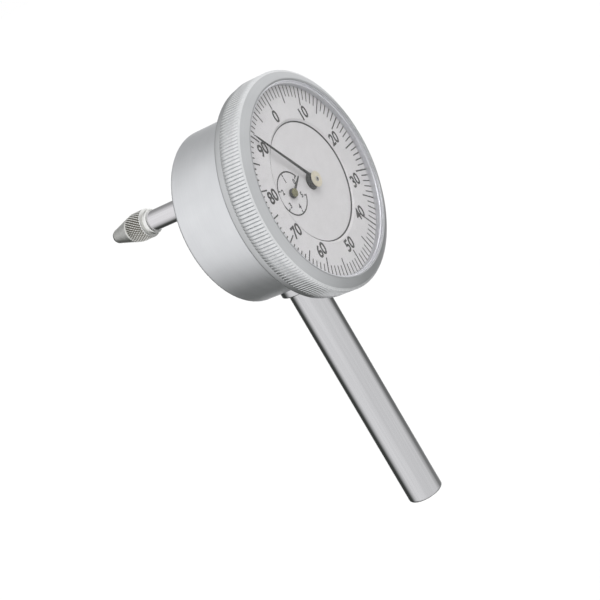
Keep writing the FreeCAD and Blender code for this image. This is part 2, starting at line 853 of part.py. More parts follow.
def make_bezel():
    """The knurled bezel, trapped on the case by its back lip."""
    bore = flange_radius + bezel_turning_gap
    lip = case_radius + bezel_lip_gap
    body_radius = bezel_radius - ridge_depth
    band_floor = body_radius - band_depth
    crest = sight_radius + crest_inset
    slope = (ridge_front - bezel_front) / (bezel_radius - crest)
    band_front = bezel_front + slope * (body_radius - crest)
    outside = bezel_radius + ridge_depth
    shoulder = bezel_radius - shoulder_step
    shoulder_corner = shoulder_round * round_middle
    profile = turned_y([
        (sight_radius, 0),
        (sight_radius, bezel_lip_edge + sight_edge),
        ((sight_radius + sight_edge / 2, bezel_lip_edge), (crest, bezel_front)),
        (body_radius, band_front),
        (band_floor, band_front),
        (band_floor, ridge_back),
        (shoulder, ridge_back),
        (shoulder, bezel_back - shoulder_round),
        ((shoulder - shoulder_corner, bezel_back - shoulder_corner), (shoulder - shoulder_round, bezel_back)),
        (lip, bezel_back),
        (lip, bezel_back_lip),
        (bore, bezel_back_lip),
        (bore, 0),
    ])
    ridges = []
    for ridge in range(ridge_count):
        ridges.append(polar(body_radius, 360 * ridge / ridge_count))
        ridges.append(polar(bezel_radius, 360 * (ridge + 0.5) / ridge_count))
    band = plate_y(ridges, band_front, ridge_back - band_front)
    # The ridges run out on the bevel
    return profile.fuse(band.common(turned_y([
        (band_floor, band_front),
        (body_radius, band_front),
        (outside, bezel_front + slope * (outside - crest)),
        (outside, ridge_back),
        (band_floor, ridge_back),
    ])))


def make_friction_ring():
    """The thin ring that gives the bezel its drag, between its lip and the case's flange."""
    front = bezel_back_lip - friction_ring_thickness
    outer = rod_y(flange_radius - friction_ring_inset, front, bezel_back_lip)
    return outer.cut(rod_y(case_radius + friction_ring_inset, front, bezel_back_lip))


def dome_drop(radius, reach, dome):
    """How far a round dome has fallen at a radius, when it falls by dome at its full reach."""
    curve = (reach ** 2 + dome ** 2) / (2 * dome)
    return curve - math.sqrt(curve ** 2 - radius ** 2)


def make_crystal():
    """The slightly domed clear crystal."""
    back_top = crystal_rim_back - crystal_dome
    front_top = back_top - crystal_thickness
    front_reach = crystal_radius - crystal_bevel
    half_back = crystal_radius / 2
    half_front = front_reach / 2
    return turned_y([
        (0, back_top),
        ((half_back, back_top + dome_drop(half_back, crystal_radius, crystal_dome)),
         (crystal_radius, crystal_rim_back)),
        (crystal_radius, crystal_rim_back - crystal_thickness + crystal_bevel),
        (front_reach, front_top + crystal_dome),
        ((half_front, front_top + dome_drop(half_front, front_reach, crystal_dome)), (0, front_top)),
    ])


def make_tension_ring():
    """The metal ring inside the bezel that the crystal is seated on."""
    inner = crystal_radius - tension_ring_width
    return turned_y([
        (inner, 0),
        (inner, crystal_rim_back + tension_ring_edge),
        (inner + tension_ring_edge, crystal_rim_back),
        (crystal_radius, crystal_rim_back),
        (crystal_radius, 0),
    ])


def make_cross_arbor():
    """The arbor across the case that carries the rack pinion and the sector."""
    left = -left_cock_left - arbor_end
    return rod_x(cross_arbor_radius, left, right_cock_right + arbor_end, cross_arbor_depth)


def make_rack_pinion():
    """The pinion that the plunger's rack drives."""
    outline = toothed_outline(rack_pinion_teeth, rack_pitch / math.pi, 90)
    half = rack_pinion_width / 2
    wheel = plate_x(moved(outline, cross_arbor_depth, 0), -half, rack_pinion_width)
    return wheel.cut(rod_x(cross_arbor_radius + seat_gap, -half, half, cross_arbor_depth))


def arc_band(low, high, small, large):
    """The outline of a piece of a ring about the cross arbor, between two angles and two radii."""
    def place(radius, angle):
        depth, height = polar(radius, angle)
        return (depth + cross_arbor_depth, height)

    middle = (low + high) / 2
    return [
        place(small, low), place(large, low),
        (place(large, middle), place(large, high)),
        place(small, high), (place(small, middle), place(small, low)),
    ]


def make_crown_sector():
    """The sector whose crown teeth, on its left, drive the centre pinion's leaves."""
    low_angle = 180 + sector_overrun
    high_angle = 180 - math.degrees(plunger_travel * sector_angle_per_travel) - sector_overrun
    inner = crown_radius - crown_width / 2
    outer = crown_radius + crown_width / 2
    module = 2 * crown_radius / crown_full_count
    tooth_tip = leaf_pitch_radius - module * 0.8
    tooth_root = leaf_pitch_radius + module * 1.2
    tooth_foot = tooth_root + module * 0.15
    web_right = sector_web_left + sector_web_thickness
    hub_right = web_right + sector_hub_end
    window_margin = 2.5 * sector_overrun

    rim = plate_x(arc_band(high_angle, low_angle, inner, outer), tooth_root, web_right - tooth_root)
    web_start = (cross_arbor_radius + sector_hub_radius) / 2
    web = plate_x(arc_band(high_angle, low_angle, web_start, outer), sector_web_left, sector_web_thickness)
    window = plate_x(arc_band(high_angle + window_margin, low_angle - window_margin, sector_window_start,
                              inner - sector_rim_width), sector_web_left, sector_web_thickness)
    hub = rod_x(sector_hub_radius, rack_pinion_width / 2 + sector_hub_to_pinion, hub_right, cross_arbor_depth)
    teeth = []
    step = 360 / crown_full_count
    first = 180 + step / 2
    low_count = int((low_angle - first) / step)
    high_count = int((first - high_angle) / step)
    half_root = crown_radius * math.radians(step) * 0.27
    half_tip = crown_radius * math.radians(step) * 0.12
    centre = spot(0, cross_arbor_depth, 0)
    for tooth in range(-high_count, low_count + 1):
        angle = math.radians(first + tooth * step)
        out = Vector(0, math.cos(angle), math.sin(angle))
        side = Vector(0, -math.sin(angle), math.cos(angle))
        corners = []
        for x, half in ((tooth_foot, -half_root), (tooth_tip, -half_tip),
                        (tooth_tip, half_tip), (tooth_foot, half_root)):
            corners.append(centre + Vector(x, 0, 0) + out * inner + side * half)
        face = Part.Face(Part.makePolygon(corners + [corners[0]]))
        teeth.append(face.extrude(out * crown_width))
    body = rim.multiFuse([web, hub] + teeth)
    bore = rod_x(cross_arbor_radius + seat_gap, 0, hub_right, cross_arbor_depth)
    return body.cut([window, bore])


def make_centre_arbor():
    """The arbor of the main hand, with the six leaves that the crown sector drives cut in it."""
    module = 2 * leaf_pitch_radius / crown_leaf_count
    leaf_root = leaf_pitch_radius * 0.62
    leaf_tip = leaf_pitch_radius + module * 0.7
    leaf_root_half = 126 / crown_leaf_count
    leaf_tip_half = 42 / crown_leaf_count
    points = []
    for leaf in range(crown_leaf_count):
        middle = 360 * leaf / crown_leaf_count
        points.append(polar(leaf_root, middle - leaf_root_half))
        points.append(polar(leaf_tip, middle - leaf_tip_half))
        points.append(polar(leaf_tip, middle + leaf_tip_half))
        points.append(polar(leaf_root, middle + leaf_root_half))
    leaves = plate_y(points, leaf_front, leaf_back - leaf_front)
    front = hand_front - hand_cap_thickness - hand_arbor_end
    fore = rod_y(centre_arbor_radius, front, leaf_front)
    aft = rod_y(centre_arbor_radius, leaf_back, bridge_back + arbor_end)
    return fore.multiFuse([leaves, aft])


def make_counter_pinion():
    """The pinion on the centre arbor that drives the revolution counter."""
    front = counter_pinion_front
    back = counter_wheel_front + counter_wheel_thickness + 2 * counter_pinion_overhang
    toward_counter = math.degrees(math.atan2(counter_height, counter_x))
    outline = toothed_outline(counter_pinion_teeth, counter_module, toward_counter, 0.8)
    wheel = plate_y(outline, front, back - front)
    return wheel.cut(rod_y(centre_arbor_radius + seat_gap, front, back))


def hand_blade(x, height, angle, reach, root_width, tip_width, ring_radius, front, thickness):
    """A tapered hand with a round eye about its arbor."""
    turn = math.radians(angle)
    along = (math.cos(turn), math.sin(turn))
    side = (-along[1], along[0])

    def place(distance, offset):
        return (x + along[0] * distance + side[0] * offset, height + along[1] * distance + side[1] * offset)

    blade = plate_y([place(0, -root_width / 2), place(reach, -tip_width / 2),
                     place(reach, tip_width / 2), place(0, root_width / 2)], front, thickness)
    return blade.fuse(rod_y(ring_radius, front, front + thickness, x, height))


def make_main_hand():
    """The long hand, at its rest division."""
    angle = 90 - 3.6 * hand_division
    eye = hand_boss_radius + hand_eye_margin
    hand = hand_blade(0, 0, angle, hand_reach, hand_root_width, hand_tip_width, eye,
                      hand_front, hand_thickness)
    return hand.cut(rod_y(centre_arbor_radius + seat_gap, hand_front, hand_front + hand_thickness))


def make_hand_boss():
    """The dark boss behind the long hand."""
    front = hand_front + hand_thickness
    back = dial_step - boss_to_dial
    return rod_y(hand_boss_radius, front, back).cut(rod_y(centre_arbor_radius + seat_gap, front, back))


def make_hand_cap():
    """The round cap that covers the long hand's eye."""
    front = hand_front - hand_cap_thickness
    bore = centre_arbor_radius + seat_gap
    return turned_y([
        (bore, front),
        (hand_cap_radius - hand_cap_edge, front),
        (hand_cap_radius, front + hand_cap_edge),
        (hand_cap_radius, hand_front),
        (bore, hand_front),
    ])


def make_counter_arbor():
    """The arbor of the revolution counter."""
    front = counter_hand_front - arbor_end
    return rod_y(counter_arbor_radius, front, bridge_back + arbor_end, counter_x, counter_height)


def make_counter_wheel():
    """The crossed-out wheel of the revolution counter."""
    toward_centre = math.degrees(math.atan2(-counter_height, -counter_x))
    tooth_turn = 180 / counter_wheel_teeth
    outline = toothed_outline(counter_wheel_teeth, counter_module, toward_centre + tooth_turn, 0.8)
    front = counter_wheel_front
    wheel = plate_y(moved(outline, counter_x, counter_height), front, counter_wheel_thickness)
    rim_inside = counter_module * counter_wheel_teeth / 2 - counter_wheel_rim
    cuts = [rod_y(counter_arbor_radius + seat_gap, front, front + counter_wheel_thickness,
                  counter_x, counter_height)]
    for crossing in range(4):
        middle = 90 * crossing + 45
        hub_low, hub_middle, hub_high = [polar(counter_wheel_hub, middle + side) for side in (-31, 0, 31)]
        rim_low, rim_middle, rim_high = [polar(rim_inside, middle + side) for side in (-37, 0, 37)]
        steps = [hub_low, rim_low, (rim_middle, rim_high), hub_high, (hub_middle, hub_low)]
        face = closed_face(steps, lambda x, h: spot(x + counter_x, front, h + counter_height))
        cuts.append(face.extrude(Vector(0, counter_wheel_thickness, 0)))
    return wheel.cut(cuts)


def make_hairspring_collet():
    """The collet that the hairspring's inner end is held in."""
    front = hairspring_front
    back = hairspring_front + hairspring_height
    ring = rod_y(hairspring_inner_radius - collet_gap, front, back, counter_x, counter_height)
    return ring.cut(rod_y(counter_arbor_radius + seat_gap, front, back, counter_x, counter_height))


def make_hairspring():
    """The flat spiral spring that takes up the play of the train."""
    outer_side = []
    inner_side = []
    steps = hairspring_turns * 14
    for step in range(steps + 1):
        share = step / steps
        radius = hairspring_inner_radius + (hairspring_outer_radius - hairspring_inner_radius) * share
        angle = 180 + 360 * hairspring_turns * share
        outer_side.append(polar(radius + hairspring_strip / 2, angle))
        inner_side.append(polar(radius - hairspring_strip / 2, angle))
    outline = outer_side + inner_side[::-1]
    return plate_y(moved(outline, counter_x, counter_height), hairspring_front, hairspring_height)


def make_hairspring_stud():
    """The stud under the bridge that holds the hairspring's outer end."""
    x = counter_x - hairspring_outer_radius - stud_radius - collet_gap
    return rod_y(stud_radius, hairspring_front, bridge_front, x, counter_height)


def make_counter_hand():
    """The short hand of the revolution counter, short of its zero as the long hand is."""
    revolutions_short = 1 - hand_division / 100
    angle = 90 - 60 * (1 + revolutions_short)
    hand = hand_blade(counter_x, counter_height, angle, counter_hand_reach, counter_hand_root_width,
                      counter_hand_tip_width, counter_hand_eye, counter_hand_front, counter_hand_thickness)
    bore = counter_arbor_radius + seat_gap
    back = counter_hand_front + counter_hand_thickness
    return hand.cut(rod_y(bore, counter_hand_front, back, counter_x, counter_height))


def make_counter_boss():
    """The dark boss behind the short hand."""
    front = counter_hand_front + counter_hand_thickness
    back = dial_step - boss_to_dial
    boss = rod_y(counter_boss_radius, front, back, counter_x, counter_height)
    return boss.cut(rod_y(counter_arbor_radius + seat_gap, front, back, counter_x, counter_height))


parts["case"] = make_case()
parts["stem"] = make_stem()
parts["back_cover"] = make_back_cover()
parts["back_cover_screws"] = make_cover_screws()
parts["guide_bush"] = make_guide_bush()
parts["front_plate"] = make_front_plate()
parts["front_plate_screws"] = make_plate_screws()
parts["bridge_pillars"] = make_pillars()
parts["bridge_plate"] = make_bridge()
parts["bridge_screws"] = make_bridge_screws()
parts["right_cock"] = make_right_cock()
parts["left_cock"] = make_left_cock()
parts["cock_screws"] = make_cock_screws()
parts["plunger_guide"] = make_plunger_guide()
parts["spring_anchor_pin"] = make_spring_anchor()
parts["hairspring_stud"] = make_hairspring_stud()
parts["inner_dial"] = make_inner_dial()

parts["plunger_spindle"] = make_spindle()
parts["guide_pin"] = make_guide_pin()
parts["contact_point"] = make_contact_point()
parts["contact_ball"] = make_contact_ball()
parts["return_spring"] = make_return_spring()

parts["cross_arbor"] = make_cross_arbor()
parts["rack_pinion"] = make_rack_pinion()
parts["crown_sector"] = make_crown_sector()

parts["centre_arbor"] = make_centre_arbor()
parts["counter_drive_pinion"] = make_counter_pinion()
parts["hand_boss"] = make_hand_boss()
parts["main_hand"] = make_main_hand()
parts["hand_cap"] = make_hand_cap()

parts["counter_arbor"] = make_counter_arbor()
parts["counter_wheel"] = make_counter_wheel()
parts["hairspring_collet"] = make_hairspring_collet()
parts["hairspring"] = make_hairspring()
parts["counter_boss"] = make_counter_boss()
parts["counter_hand"] = make_counter_hand()

parts["bezel"] = make_bezel()
parts["crystal"] = make_crystal()
parts["tension_ring"] = make_tension_ring()
parts["dial_ring"] = make_dial_ring()
parts["friction_ring"] = make_friction_ring()

os.makedirs("parts", exist_ok=True)
for name, shape in parts.items():
    shape.exportStep("parts/" + name + ".step")
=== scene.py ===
"""Back plunger dial indicator: the finished look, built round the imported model.

Sizes are millimetres of the row frame. A place is given as x, depth behind the face of the
graduated ring, and height above the dial's axis; the frame says where that face and axis are.
"""
import json
import math

import bmesh
import bpy
import numpy as np
from mathutils import Matrix, Vector


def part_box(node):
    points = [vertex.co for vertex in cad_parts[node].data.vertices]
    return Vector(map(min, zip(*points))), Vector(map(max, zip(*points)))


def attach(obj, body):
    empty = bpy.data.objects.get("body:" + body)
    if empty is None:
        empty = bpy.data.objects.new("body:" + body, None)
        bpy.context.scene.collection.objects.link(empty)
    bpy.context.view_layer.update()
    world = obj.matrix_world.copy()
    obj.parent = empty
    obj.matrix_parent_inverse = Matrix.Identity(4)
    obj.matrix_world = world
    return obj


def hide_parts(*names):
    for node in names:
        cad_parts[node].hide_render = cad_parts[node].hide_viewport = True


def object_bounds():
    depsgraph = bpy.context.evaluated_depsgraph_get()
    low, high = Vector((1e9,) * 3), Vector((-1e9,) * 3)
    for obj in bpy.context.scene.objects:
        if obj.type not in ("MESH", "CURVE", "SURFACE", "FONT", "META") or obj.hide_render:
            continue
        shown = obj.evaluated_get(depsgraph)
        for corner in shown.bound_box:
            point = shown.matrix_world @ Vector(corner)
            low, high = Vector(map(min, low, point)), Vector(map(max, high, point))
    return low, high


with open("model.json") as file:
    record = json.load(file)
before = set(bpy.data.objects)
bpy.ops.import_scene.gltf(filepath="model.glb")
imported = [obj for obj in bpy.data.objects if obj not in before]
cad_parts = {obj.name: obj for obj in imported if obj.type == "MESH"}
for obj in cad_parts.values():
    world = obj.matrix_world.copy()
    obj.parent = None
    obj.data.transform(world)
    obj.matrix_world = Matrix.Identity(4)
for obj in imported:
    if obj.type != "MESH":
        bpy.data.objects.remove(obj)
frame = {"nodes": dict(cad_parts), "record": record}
cad_low, cad_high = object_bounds()

MM = 0.001


def depth_range(node):
    """The front and back depth of a CAD node, in row millimetres along Y."""
    low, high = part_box(node)
    return low.y / MM, high.y / MM


def half_width(node):
    """Half of a CAD node's width across the case, which is its outer radius when it is round."""
    low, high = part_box(node)
    return (high.x - low.x) / 2 / MM


# Places read from the frame
ring_low, ring_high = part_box("dial_ring")
DIAL_FACE = ring_low.y / MM
AXIS_HEIGHT = (ring_low.z + ring_high.z) / 2 / MM
ball_low, ball_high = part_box("contact_ball")
PLUNGER_HEIGHT = (ball_low.z + ball_high.z) / 2 / MM - AXIS_HEIGHT
counter_low, counter_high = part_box("counter_arbor")
COUNTER_X = (counter_low.x + counter_high.x) / 2 / MM
COUNTER_HEIGHT = (counter_low.z + counter_high.z) / 2 / MM - AXIS_HEIGHT

# Bezel
bezel_radius = half_width("bezel")
flange_radius = half_width("dial_ring")
crystal_radius = half_width("crystal")
case_radius = 15.03
ridge_count = 195
ridge_depth = 0.4
sight_radius = crystal_radius + 0.04
crest_radius = sight_radius + 0.3
bezel_front = depth_range("bezel")[0] - DIAL_FACE
bezel_back = depth_range("bezel")[1] - DIAL_FACE
bezel_lip_edge = bezel_front + 0.05
ridge_front = bezel_lip_edge + 1.0
ridge_back = bezel_back - 1.4
valley_radius = bezel_radius - ridge_depth
band_floor = valley_radius - 0.4
bevel_slope = (ridge_front - bezel_front) / (bezel_radius - crest_radius)
band_front = bezel_front + bevel_slope * (valley_radius - crest_radius)
bevel_middle = (crest_radius + valley_radius) / 2
bevel_bulge = 0.05

# Crystal and dial
crystal_rim_back = depth_range("crystal")[1] - DIAL_FACE
crystal_front = depth_range("crystal")[0] - DIAL_FACE
crystal_rim_thickness = 0.52
pane_thickness = 0.12
tension_ring_width = 0.33
inner_dial_radius = 10.15
dial_thickness = 0.3
dial_step = 0.35
ring_chamfer = 0.45
ring_wall = 0.1
ink_thickness = 0.012
tick_end_radius = 16.24
numeral_height = 2.1
numeral_stroke = 0.075
numeral_narrowing = 0.9
numeral_places = [
    (-0.1, 11.9), (7.45, 9.35), (11.55, 2.7), (10.9, -5.0), (7.1, -9.55),
    (-0.1, -11.9), (-7.8, -9.1), (-11.15, -3.95), (-11.9, 2.7), (-7.8, 9.3),
]

# Revolution counter
counter_middle_x = COUNTER_X + 0.2
counter_circle_radius = 3.6
counter_line_width = 0.24
counter_opening = 28
counter_tick_length = 0.6
counter_tick_width = 0.22
counter_numeral_radius = 2.4
counter_numeral_height = 0.95
counter_numeral_stroke = 0.045
counter_cap_radius = 0.7
counter_cap_height = 0.24

# Hands
hand_division = 90
hand_root_width = 0.72
hand_tip_width = 0.36
hand_eye_radius = 1.25
hand_boss_radius = 1.25
hand_bore = 0.45
hand_hole_radius = 1.448
cap_bore = 0.32

# Contact point
plunger_back = depth_range("plunger_spindle")[1] - DIAL_FACE
contact_tip = depth_range("contact_ball")[1] - DIAL_FACE
contact_ball_radius = 1.3
contact_ball_sink = 0.5
contact_ball_middle = contact_tip - contact_ball_radius
contact_seat_radius = math.sqrt(contact_ball_radius ** 2 - contact_ball_sink ** 2)
contact_grip_radius = half_width("contact_point")


def row_points(x, depth, height):
    """Points of the row frame in metres, from arrays of x, depth and height in millimetres."""
    x, depth, height = np.broadcast_arrays(x, depth, height)
    return np.stack([x, depth + DIAL_FACE, height + AXIS_HEIGHT], axis=-1) * MM


def rounded(corners, steps=5):
    """A profile through corners (across, along, round): at a corner with a round, the two
    points that far along its sides are joined by the parabola that leaves each along its side."""
    line = []
    count = len(corners)
    for number, (across, along, size) in enumerate(corners):
        corner = np.array([across, along], float)
        if size == 0:
            line.append(corner)
            continue
        before = np.array(corners[number - 1][:2], float) - corner
        after = np.array(corners[(number + 1) % count][:2], float) - corner
        start = corner + before / np.linalg.norm(before) * size
        end = corner + after / np.linalg.norm(after) * size
        share = np.linspace(0, 1, steps)[:, None]
        line.extend((1 - share) ** 2 * start + 2 * share * (1 - share) * corner + share ** 2 * end)
    return np.array(line)


def grid_mesh(name, points, closed_profile):
    """A mesh of four-sided faces between neighbours of a grid of points (profile, round, 3).
    The second way always closes on itself; the first does when the profile is closed."""
    rows, columns = points.shape[:2]
    index = np.arange(rows * columns).reshape(rows, columns)
    beside = np.roll(index, -1, axis=1)
    if closed_profile:
        low, high = index, np.roll(index, -1, axis=0)
        low_beside, high_beside = beside, np.roll(beside, -1, axis=0)
    else:
        low, high = index[:-1], index[1:]
        low_beside, high_beside = beside[:-1], beside[1:]
    quads = np.stack([low, low_beside, high_beside, high], axis=-1).reshape(-1, 4)
    mesh = bpy.data.meshes.new(name)
    mesh.from_pydata(points.reshape(-1, 3).tolist(), [], quads.tolist())
    return mesh


def finished(mesh, body, material, replaces=(), sharp_angle=35):
    """A piece from a mesh: poles and seams merged, faces outward, smooth except over sharp
    edges, with its material and slot, riding on its body and standing for its CAD nodes."""
    shape = bmesh.new()
    shape.from_mesh(mesh)
    bmesh.ops.remove_doubles(shape, verts=shape.verts, dist=1e-8)
    bmesh.ops.recalc_face_normals(shape, faces=shape.faces)
    shape.to_mesh(mesh)
    shape.free()
    mesh.polygons.foreach_set("use_smooth", np.ones(len(mesh.polygons), bool))
    mesh.set_sharp_from_angle(angle=math.radians(sharp_angle))
    piece = bpy.data.objects.new(mesh.name, mesh)
    bpy.context.scene.collection.objects.link(piece)
    mesh.materials.append(material)
    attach(piece, body)
    if replaces:
        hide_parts(*replaces)
    return piece


def turned(name, profile, x=0.0, height=0.0, around=256, closed=False, relief=None):
    """A surface of revolution about an axis parallel to Y: the profile's radius and depth are
    carried round the axis, and relief(angle, depth, radius) may change the radius."""
    angle = np.linspace(0, 2 * math.pi, around, endpoint=False)[None, :]
    radius = profile[:, :1] * np.ones_like(angle)
    depth = profile[:, 1:2] * np.ones_like(angle)
    if relief is not None:
        radius = relief(angle, depth, radius)
    points = row_points(x + radius * np.cos(angle), depth, height + radius * np.sin(angle))
    return grid_mesh(name, points, closed)


# Materials

def material_nodes(name):
    """A new node material with its node maker, its linker and its main shader."""
    material = bpy.data.materials.new(name)
    material.use_nodes = True
    tree = material.node_tree
    return material, tree.nodes, tree.links, tree.nodes["Principled BSDF"]


def lathe_coordinates(nodes, links, radial_scale, depth_scale):
    """Distance from the dial's axis and depth, as a vector that noise turns into fine rings."""
    place = nodes.new("ShaderNodeTexCoord")
    flat = nodes.new("ShaderNodeMapping")
    flat.inputs["Location"].default_value = (0, 0, -AXIS_HEIGHT * MM)
    flat.inputs["Scale"].default_value = (1, 0, 1)
    links.new(place.outputs["Object"], flat.inputs["Vector"])
    distance = nodes.new("ShaderNodeVectorMath")
    distance.operation = "LENGTH"
    links.new(flat.outputs["Vector"], distance.inputs[0])
    parts = nodes.new("ShaderNodeSeparateXYZ")
    links.new(place.outputs["Object"], parts.inputs["Vector"])
    across = nodes.new("ShaderNodeMath")
    across.operation = "MULTIPLY"
    across.inputs[1].default_value = radial_scale / MM
    links.new(distance.outputs["Value"], across.inputs[0])
    along = nodes.new("ShaderNodeMath")
    along.operation = "MULTIPLY"
    along.inputs[1].default_value = depth_scale / MM
    links.new(parts.outputs["Y"], along.inputs[0])
    joined = nodes.new("ShaderNodeCombineXYZ")
    links.new(across.outputs["Value"], joined.inputs["X"])
    links.new(along.outputs["Value"], joined.inputs["Y"])
    return joined.outputs["Vector"]


def noise(nodes, links, vector, scale, detail=3.0):
    """A noise texture read at a vector."""
    texture = nodes.new("ShaderNodeTexNoise")
    texture.inputs["Scale"].default_value = scale
    texture.inputs["Detail"].default_value = detail
    links.new(vector, texture.inputs["Vector"])
    return texture.outputs["Fac"]


def spread(nodes, links, value, low, high):
    """A value from 0 to 1 carried to the range between low and high."""
    node = nodes.new("ShaderNodeMapRange")
    node.inputs["To Min"].default_value = low
    node.inputs["To Max"].default_value = high
    links.new(value, node.inputs["Value"])
    return node.outputs["Result"]


def tint(nodes, links, value, dark, light):
    """A colour between two by a value."""
    ramp = nodes.new("ShaderNodeValToRGB")
    ramp.color_ramp.elements[0].position = 0.3
    ramp.color_ramp.elements[1].position = 0.7
    ramp.color_ramp.elements[0].color = (*dark, 1)
    ramp.color_ramp.elements[1].color = (*light, 1)
    links.new(value, ramp.inputs["Fac"])
    return ramp.outputs["Color"]


def turned_metal(name, dark, light, roughness, groove):
    """Metal finished on a lathe: fine rings about the dial's axis in its colour, its roughness
    and its bump, over faint cloudy patches."""
    material, nodes, links, shader = material_nodes(name)
    shader.inputs["Metallic"].default_value = 1.0
    rings = noise(nodes, links, lathe_coordinates(nodes, links, 9.0, 9.0), 1.0, 4.0)
    place = nodes.new("ShaderNodeTexCoord")
    clouds = noise(nodes, links, place.outputs["Object"], 180.0, 3.0)
    blend = nodes.new("ShaderNodeMath")
    blend.operation = "ADD"
    links.new(spread(nodes, links, rings, 0.0, 0.35), blend.inputs[0])
    links.new(spread(nodes, links, clouds, 0.1, 0.6), blend.inputs[1])
    links.new(tint(nodes, links, blend.outputs["Value"], dark, light),
              shader.inputs["Base Color"])
    links.new(spread(nodes, links, rings, roughness - 0.06, roughness + 0.06),
              shader.inputs["Roughness"])
    bump = nodes.new("ShaderNodeBump")
    bump.inputs["Strength"].default_value = groove
    bump.inputs["Distance"].default_value = 0.02 * MM
    links.new(rings, bump.inputs["Height"])
    links.new(bump.outputs["Normal"], shader.inputs["Normal"])
    return material


def plain_metal(name, dark, light, roughness, grain=(1, 1, 1), grain_scale=2500.0):
    """Metal with a fine grain, drawn out along an axis where grain is small, in its colour and
    its roughness."""
    material, nodes, links, shader = material_nodes(name)
    shader.inputs["Metallic"].default_value = 1.0
    place = nodes.new("ShaderNodeTexCoord")
    drawn = nodes.new("ShaderNodeMapping")
    drawn.inputs["Scale"].default_value = grain
    links.new(place.outputs["Object"], drawn.inputs["Vector"])
    fine = noise(nodes, links, drawn.outputs["Vector"], grain_scale, 3.0)
    links.new(tint(nodes, links, fine, dark, light), shader.inputs["Base Color"])
    links.new(spread(nodes, links, fine, roughness * 0.75, roughness * 1.25),
              shader.inputs["Roughness"])
    return material


def knurled_metal(name, groove, dark, light, roughness):
    """Metal with a fine grain, whose colour goes over to the dark colour given as groove as the
    mesh's attribute "groove" rises from 0 to 1: painted shade in the knurl's grooves, darkest
    where they are cut deepest."""
    material = plain_metal(name, dark, light, roughness)
    nodes, links = material.node_tree.nodes, material.node_tree.links
    shader = next(node for node in nodes if node.type == "BSDF_PRINCIPLED")
    cut = nodes.new("ShaderNodeAttribute")
    cut.attribute_name = "groove"
    mix = nodes.new("ShaderNodeMix")
    mix.data_type = "RGBA"
    links.new(cut.outputs["Fac"], mix.inputs["Factor"])
    links.new(shader.inputs["Base Color"].links[0].from_socket, mix.inputs["A"])
    # painted shade: the dark colour that the grooves get as they are cut deeper
    mix.inputs["B"].default_value = (*groove, 1)
    links.new(mix.outputs["Result"], shader.inputs["Base Color"])
    return material


def painted(name, dark, light, roughness, scale=900.0, gloss=0.5):
    """Paint or ink: a faint mottle in the colour and in the roughness, and a fine orange peel."""
    material, nodes, links, shader = material_nodes(name)
    shader.inputs["Specular IOR Level"].default_value = gloss
    place = nodes.new("ShaderNodeTexCoord")
    mottle = noise(nodes, links, place.outputs["Object"], scale, 3.0)
    links.new(tint(nodes, links, mottle, dark, light), shader.inputs["Base Color"])
    links.new(spread(nodes, links, mottle, roughness - 0.05, roughness + 0.05),
              shader.inputs["Roughness"])
    bump = nodes.new("ShaderNodeBump")
    bump.inputs["Strength"].default_value = 0.15
    bump.inputs["Distance"].default_value = 0.01 * MM
    links.new(mottle, bump.inputs["Height"])
    links.new(bump.outputs["Normal"], shader.inputs["Normal"])
    return material


def clear_crystal():
    """Clear plastic: a smooth transmitting shader that lets the lamps' light through."""
    material, nodes, links, shader = material_nodes("crystal_clear")
    shader.inputs["Base Color"].default_value = (0.99, 0.985, 0.99, 1)
    shader.inputs["Roughness"].default_value = 0.03
    shader.inputs["IOR"].default_value = 1.49
    shader.inputs["Transmission Weight"].default_value = 1.0
    path = nodes.new("ShaderNodeLightPath")
    open_way = nodes.new("ShaderNodeBsdfTransparent")
    mix = nodes.new("ShaderNodeMixShader")
    links.new(path.outputs["Is Shadow Ray"], mix.inputs["Fac"])
    links.new(shader.outputs["BSDF"], mix.inputs[1])
    links.new(open_way.outputs["BSDF"], mix.inputs[2])
    links.new(mix.outputs["Shader"], nodes["Material Output"].inputs["Surface"])
    return material


ALONG_STEM = (1, 1, 0.02)
ALONG_PLUNGER = (1, 0.02, 1)
ACROSS_CASE = (0.02, 1, 1)

